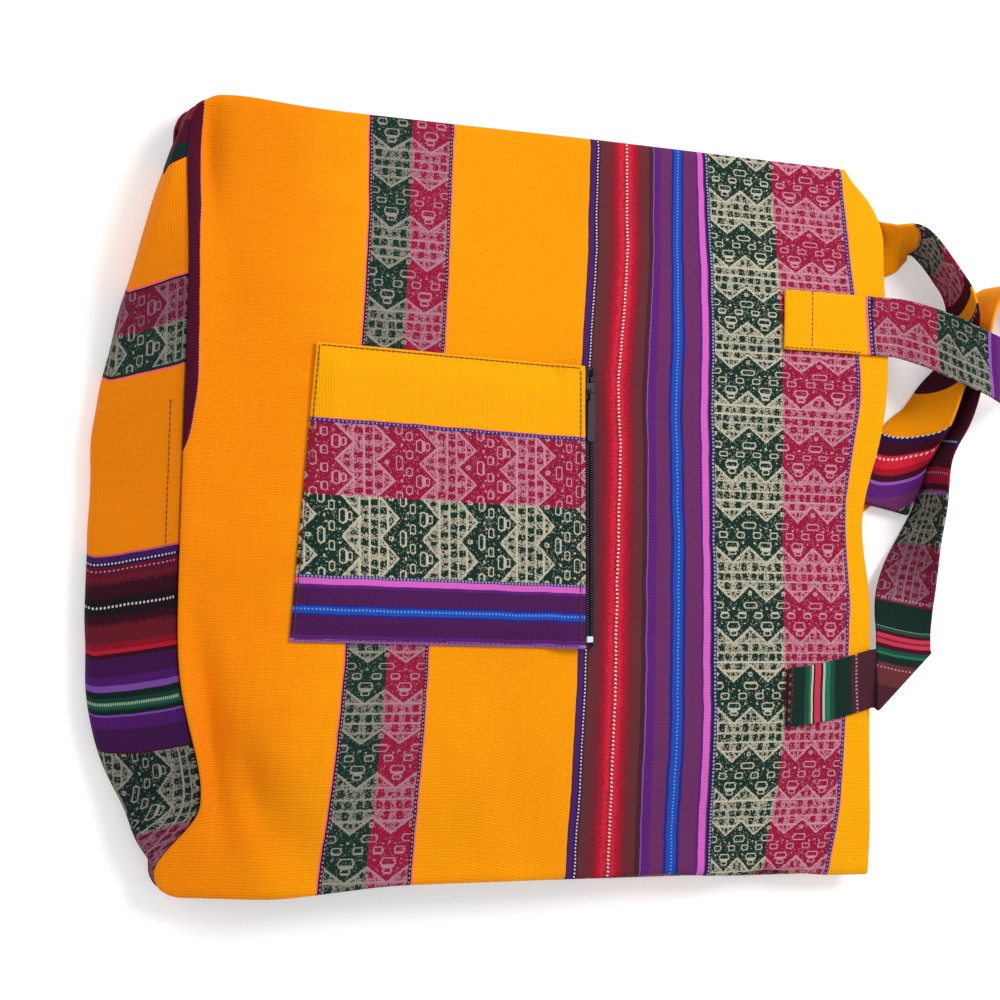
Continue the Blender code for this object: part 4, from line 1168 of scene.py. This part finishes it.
pocketWeave = {
    "stripes": [
        (102.2, "orchid"), (105.2, "purple"), (106.6, "deepPlum"), (115.2, "deepBlue"), (116.3, "blue"),
        (119.8, "deepBlue"), (120.9, "deepPlum"), (130.6, "purple"), (132.6, "lilac"), (134.6, "plum")],
    "lanes": [(24, 60, 2, "rose", 45.5, 40.0, 0.22), (60, 100.6, 2, "cream", 44.0, 40.0, 0.22)],
    "dots": [
        (23.1, 0.8, 2.3, 1.0, "paleBlue"), (101.4, 1.1, 1.9, 1.2, "paleBlue"), (118, 1.1, 1.9, 1.0, "sky"),
        (133.4, 0.9, 1.7, 0.9, "rose")],
}
frontStrapWeave = {
    "stripes": [
        (0, "amber"), (53, "pink"), (54.2, "navy"), (58, "crimson"), (97, "green"), (131, "lilac"),
        (133, "purple"), (136, "plum"), (146, "blue"), (151, "plum"), (161, "lilac"), (164, "brown"),
        (172, "red"), (176, "scarlet"), (184, "red"), (188, "brown"), (197, "navy"), (201, "orange"),
        (303, "pink"), (304.2, "navy"), (309, "maroon"), (368, "navy"), (374, "maroon"), (386, "crimson"),
        (396, "maroon"), (401, "lilac"), (402.6, "green"), (434, "deepCrimson"), (470.5, "blackGreen"),
        (485.6, "glitter"), (486.8, "midGreen"), (488.5, "maroon"), (490.6, "coral"), (492.8, "wine"),
        (494, "coral"), (496.2, "maroon"), (499, "midGreen"), (501, "brightGreen"), (502.5, "blackGreen"),
        (507, "brown"), (520, "darkBrown"), (553, "blackGreen"), (564.4, "midGreen"), (567.4, "brightGreen"),
        (571, "glitter"), (572.6, "maroon"), (574.1, "coral"), (578.1, "maroon"), (579.2, "cream"),
        (580.4, "brightGreen"), (582, "midGreen"), (584.5, "blackGreen")],
    "lanes": [
        (58, 97, 2, "greyRose", 42.0, -27.0, 0.2), (97, 131, 2, "greyCream", 42.0, -27.0, 0.2),
        (402.6, 434, 2, "greyCream", 40.0, 6.0, 0.2), (434, 470.5, 2, "ash", 40.0, 6.0, 0.2)],
    "dots": [
        (56.3, 1.1, 2.4, 1.2, "paleBlue"), (148.5, 1.0, 3.0, 1.0, "sky"), (180, 2.0, 2.4, 1.2, "pale"),
        (199, 1.1, 2.4, 1.2, "pale"), (306, 1.1, 2.4, 1.2, "pale"), (371.5, 1.5, 2.4, 1.3, "pale"),
        (391, 1.2, 2.4, 1.2, "rose"), (469, 1.0, 2.0, 1.0, "rose"), (510, 1.0, 2.2, 1.2, "greyRose"),
        (549.7, 1.5, 2.2, 1.2, "greyRose"), (594.8, 1.2, 5.0, 2.0, "coral")],
}
backStrapWeave = {
    "stripes": [
        (0, "orange"), (147, "navy"), (149.5, "green"), (167, "crimson"), (189, "maroon"), (196, "orange"),
        (207, "pink"), (208, "navy"), (212, "maroon"), (247, "orange"), (279, "navy"), (283, "maroon"),
        (291, "scarlet"), (299, "red"), (304, "maroon"), (308, "lilac"), (310, "purple"), (318, "plum"),
        (329, "green"), (352, "crimson"), (372, "maroon"), (376, "orange"), (470, "pink"), (471, "navy"),
        (475, "brown"), (484, "scarlet"), (492, "brown"), (500, "plum"), (516, "orange")],
    "lanes": [
        (149.5, 167, 1, "greyCream", 40.0, 4.0, 0.2), (167, 189, 1, "greyRose", 40.0, 4.0, 0.2),
        (329, 352, 1, "greyCream", 40.0, 4.0, 0.2), (352, 372, 1, "greyRose", 40.0, 4.0, 0.2)],
    "dots": [
        (210, 1.1, 2.4, 1.2, "pale"), (281, 1.3, 2.4, 1.3, "pale"), (295, 1.6, 2.4, 1.3, "pale"),
        (473, 1.2, 2.4, 1.2, "pale"), (488, 1.6, 2.4, 1.2, "pale")],
}


def makeCloths():
    stripes, lanes, dots = weave["stripes"], weave["lanes"], weave["dots"]
    # painted shade: darker copies of the dyes, as they look in the gusset's shade; the gusset's orange past
    # place 196.5 is such a copy
    shaded = {"orange": "shadedOrange", "crimson": "deepCrimson", "plum": "deepPlum"}
    gussetStripes = before(stripes, 150) + [
        (150, "wine"), (176, "seam"), (188, "blackGreen"), (195, "maroon"), (196.5, "shadedOrange")]
    gussetStripes += [(place, shaded.get(name, name)) for place, name in stripes if place > 250]
    # painted shade: the lanes' light thread darker on the gusset than on the panel
    gussetLanes = [
        (257.6, 278, 1, "ash", 46.5, 12.0, 0.17), *lanes[3:5], (530, 568, 2, "ash", 42.0, 14.0, 0.2)]
    gussetDots = [row for row in dots if not 150 < row[0] < 200 and row[0] not in (256.8, 299.5)]
    return {
        "panel": clothMaterial(
            "Striped cloth, front", -5, 400, before(stripes, 389) + [(389.2, "seam"), (396, "violet")],
            dots=before(dots, 389) + [(389.5, 0.4, 1.8, 0.7, "lilac")],
            # painted shade: the panel's orange darker toward the bottom seam, from place 295 to 352 on, with
            # a wavering edge
            paintedShade=(295, 352, (0.97, 0.77, 0.9), 30.0)),
        "back": clothMaterial("Striped cloth, back", -5, 410),
        "gusset": clothMaterial(
            "Striped cloth, gusset", 0, 600, gussetStripes, gussetLanes, gussetDots, fold=600.0,
            # painted shade: the gusset darker from place 389.2 on, standing in for the shade on its side
            paintedShade=(389.2, 390.0, (0.72, 0.68, 0.80), 1.0)),
        "pocket": clothMaterial(
            "Striped cloth, pocket", -20, 140, before(stripes, 101) + pocketWeave["stripes"],
            pocketWeave["lanes"], pocketWeave["dots"]),
        "frontStrap": clothMaterial("Striped strap, front", -5, 620, **frontStrapWeave),
        "backStrap": clothMaterial("Striped strap, back", -5, 570, **backStrapWeave),
    }


def makeFinishes():
    return {
        "tape": plainMaterial("Zip tape", (48, 24, 40), 0.85, speck=0.25, scale=1600, bumpSize=0.5),
        "coil": plainMaterial("Zip coil", (58, 38, 58), 0.38, speck=0.1, bumpSize=0.05),
        "metal": plainMaterial("Dark painted metal", (34, 18, 30), 0.5, 0.1, speck=0.15),
        "stop": plainMaterial("White stop", (214, 228, 226), 0.35, speck=0.05),
        # painted shade: both threads are darker than the orange thread they stand for, painting the shade in
        # the stitch lines
        "thread": plainMaterial("Orange thread", (120, 56, 6), 0.7, speck=0.2, scale=2500),
        "shadedThread": plainMaterial("Thread darkened with painted shade", (96, 40, 10), 0.7, speck=0.2, scale=2500),
    }


zipFinishes = {
    "tape": ["zip_tape_panel", "zip_tape_pocket"], "stop": ["zip_bottom_stop"],
    "metal": ["zip_slider", "zip_pull", "zip_top_stop_panel", "zip_top_stop_pocket"],
}


def main():
    for build in (buildWovenShape, buildZigzag, buildDotRow, buildRibs):
        build()
    cloths, finishes = makeCloths(), makeFinishes()
    print("materials ready")
    front, back, strip, gussetGrid, gussetPlaces = buildBody()
    dress(front, cloths["panel"])
    dress(back, cloths["back"])
    dress(strip, cloths["gusset"])
    print("bag body ready")
    frontStrap, strapGrid, strapPlaces = strapMesh(
        "frontStrapCloth", frontStrapRows(), "front_strap_cloth", "front_strap")
    backStrap = strapMesh(
        "backStrapCloth", backStrapRows(), "back_strap_cloth", "back_strap")[0]
    dress(frontStrap, cloths["frontStrap"])
    dress(backStrap, cloths["backStrap"])
    print("straps ready")
    place = zipFrame()
    dress(buildPocket(place), cloths["pocket"])
    dress(coilRow("zipTeethPocket", -1, place, "zip_coil_pocket"), finishes["coil"])
    dress(coilRow("zipTeethPanel", 1, place, "zip_coil_panel"), finishes["coil"])
    for finish, nodes in zipFinishes.items():
        for node in nodes:
            dress(frame["nodes"][node], finishes[finish])
    print("pocket and zip ready")
    dress(pocketStitches(place), finishes["shadedThread"])
    dress(tuckStitches(gussetGrid, gussetPlaces), finishes["shadedThread"])
    upper, lower = strapStitches(strapGrid, strapPlaces)
    dress(upper, finishes["thread"])
    dress(lower, finishes["shadedThread"])
    print("stitches ready")


# Camera, lights and floor

view = {"elevation": 70.0, "roll": 2.0, "distance": 1.06, "target": (0.0, 0.0, 0.030), "sensor": 36,
        "lens": 1.983 * 36, "shiftX": -0.027, "shiftY": 0.012}
studio = {"world": 0.60, "floor": (247, 246, 245), "floorSize": 6.0, "floorDrop": 0.0002, "floorGlow": 0.28,
          # name: power, size, place
          "lamps": {"Key light": (14.0, 0.7, (0.75, 0.75, 1.15)),
                    "Fill light": (2.0, 0.9, (-1.1, 0.25, 0.9))}}


def placeCamera():
    e, roll = math.radians(view["elevation"]), math.radians(view["roll"])
    ahead = Vector((math.cos(e), 0, -math.sin(e)))
    rise = Vector((math.sin(e), 0, math.cos(e)))
    left = Vector((0, 1, 0))
    right = math.cos(roll) * rise + math.sin(roll) * left
    upward = -math.sin(roll) * rise + math.cos(roll) * left
    data = bpy.data.cameras.new("Camera")
    data.sensor_width, data.lens = view["sensor"], view["lens"]
    data.shift_x, data.shift_y = view["shiftX"], view["shiftY"]
    data.clip_start, data.clip_end = 0.01, 20
    camera = addObject("Camera", data)
    turned = Matrix((right, upward, -ahead)).transposed().to_4x4()
    spot = Vector(view["target"]) + toWorld - ahead * view["distance"]
    camera.matrix_world = Matrix.Translation(spot) @ turned
    bpy.context.scene.camera = camera


def setStage():
    size = studio["floorSize"]
    mesh = bpy.data.meshes.new("Floor")
    corners = [(-size, -size, 0), (size, -size, 0), (size, size, 0), (-size, size, 0)]
    mesh.from_pydata(corners, [], [(0, 1, 2, 3)])
    floor = addObject("Floor", mesh)
    floor.location.z = -studio["floorDrop"]
    made, g, shader = newMaterial("Pale floor")
    seen = g.node("ShaderNodeLightPath", {}, "Is Camera Ray")
    g.fill(shader, {"Base Color": linear(studio["floor"]), "Roughness": 0.95, "Specular IOR Level": 0.0,
                    "Emission Color": (1, 1, 1, 1), "Emission Strength": seen * studio["floorGlow"]})
    mesh.materials.append(made)

    world = bpy.data.worlds.new("Studio")
    world.use_nodes = True
    bpy.context.scene.world = world
    g = Graph(world.node_tree)
    seen = g.most(*g.node("ShaderNodeLightPath", {}, "Is Camera Ray", "Is Glossy Ray", "Is Transmission Ray"))
    g.fill(world.node_tree.nodes["Background"].inputs, {
        "Color": (1, 1, 1, 1), "Strength": g.blend(seen, studio["world"], 1.0, "FLOAT")})
    for name, (power, size, spot) in studio["lamps"].items():
        data = bpy.data.lights.new(name, "AREA")
        data.energy, data.shape, data.size = power, "DISK", size
        lamp = addObject(name, data)
        lamp.location = spot
        lamp.rotation_mode = "QUATERNION"
        lamp.rotation_quaternion = (-Vector(spot)).to_track_quat("-Z", "Y")
    bpy.context.scene.view_settings.view_transform = "Standard"


placeCamera()
main()
setStage()
print("all pieces ready")
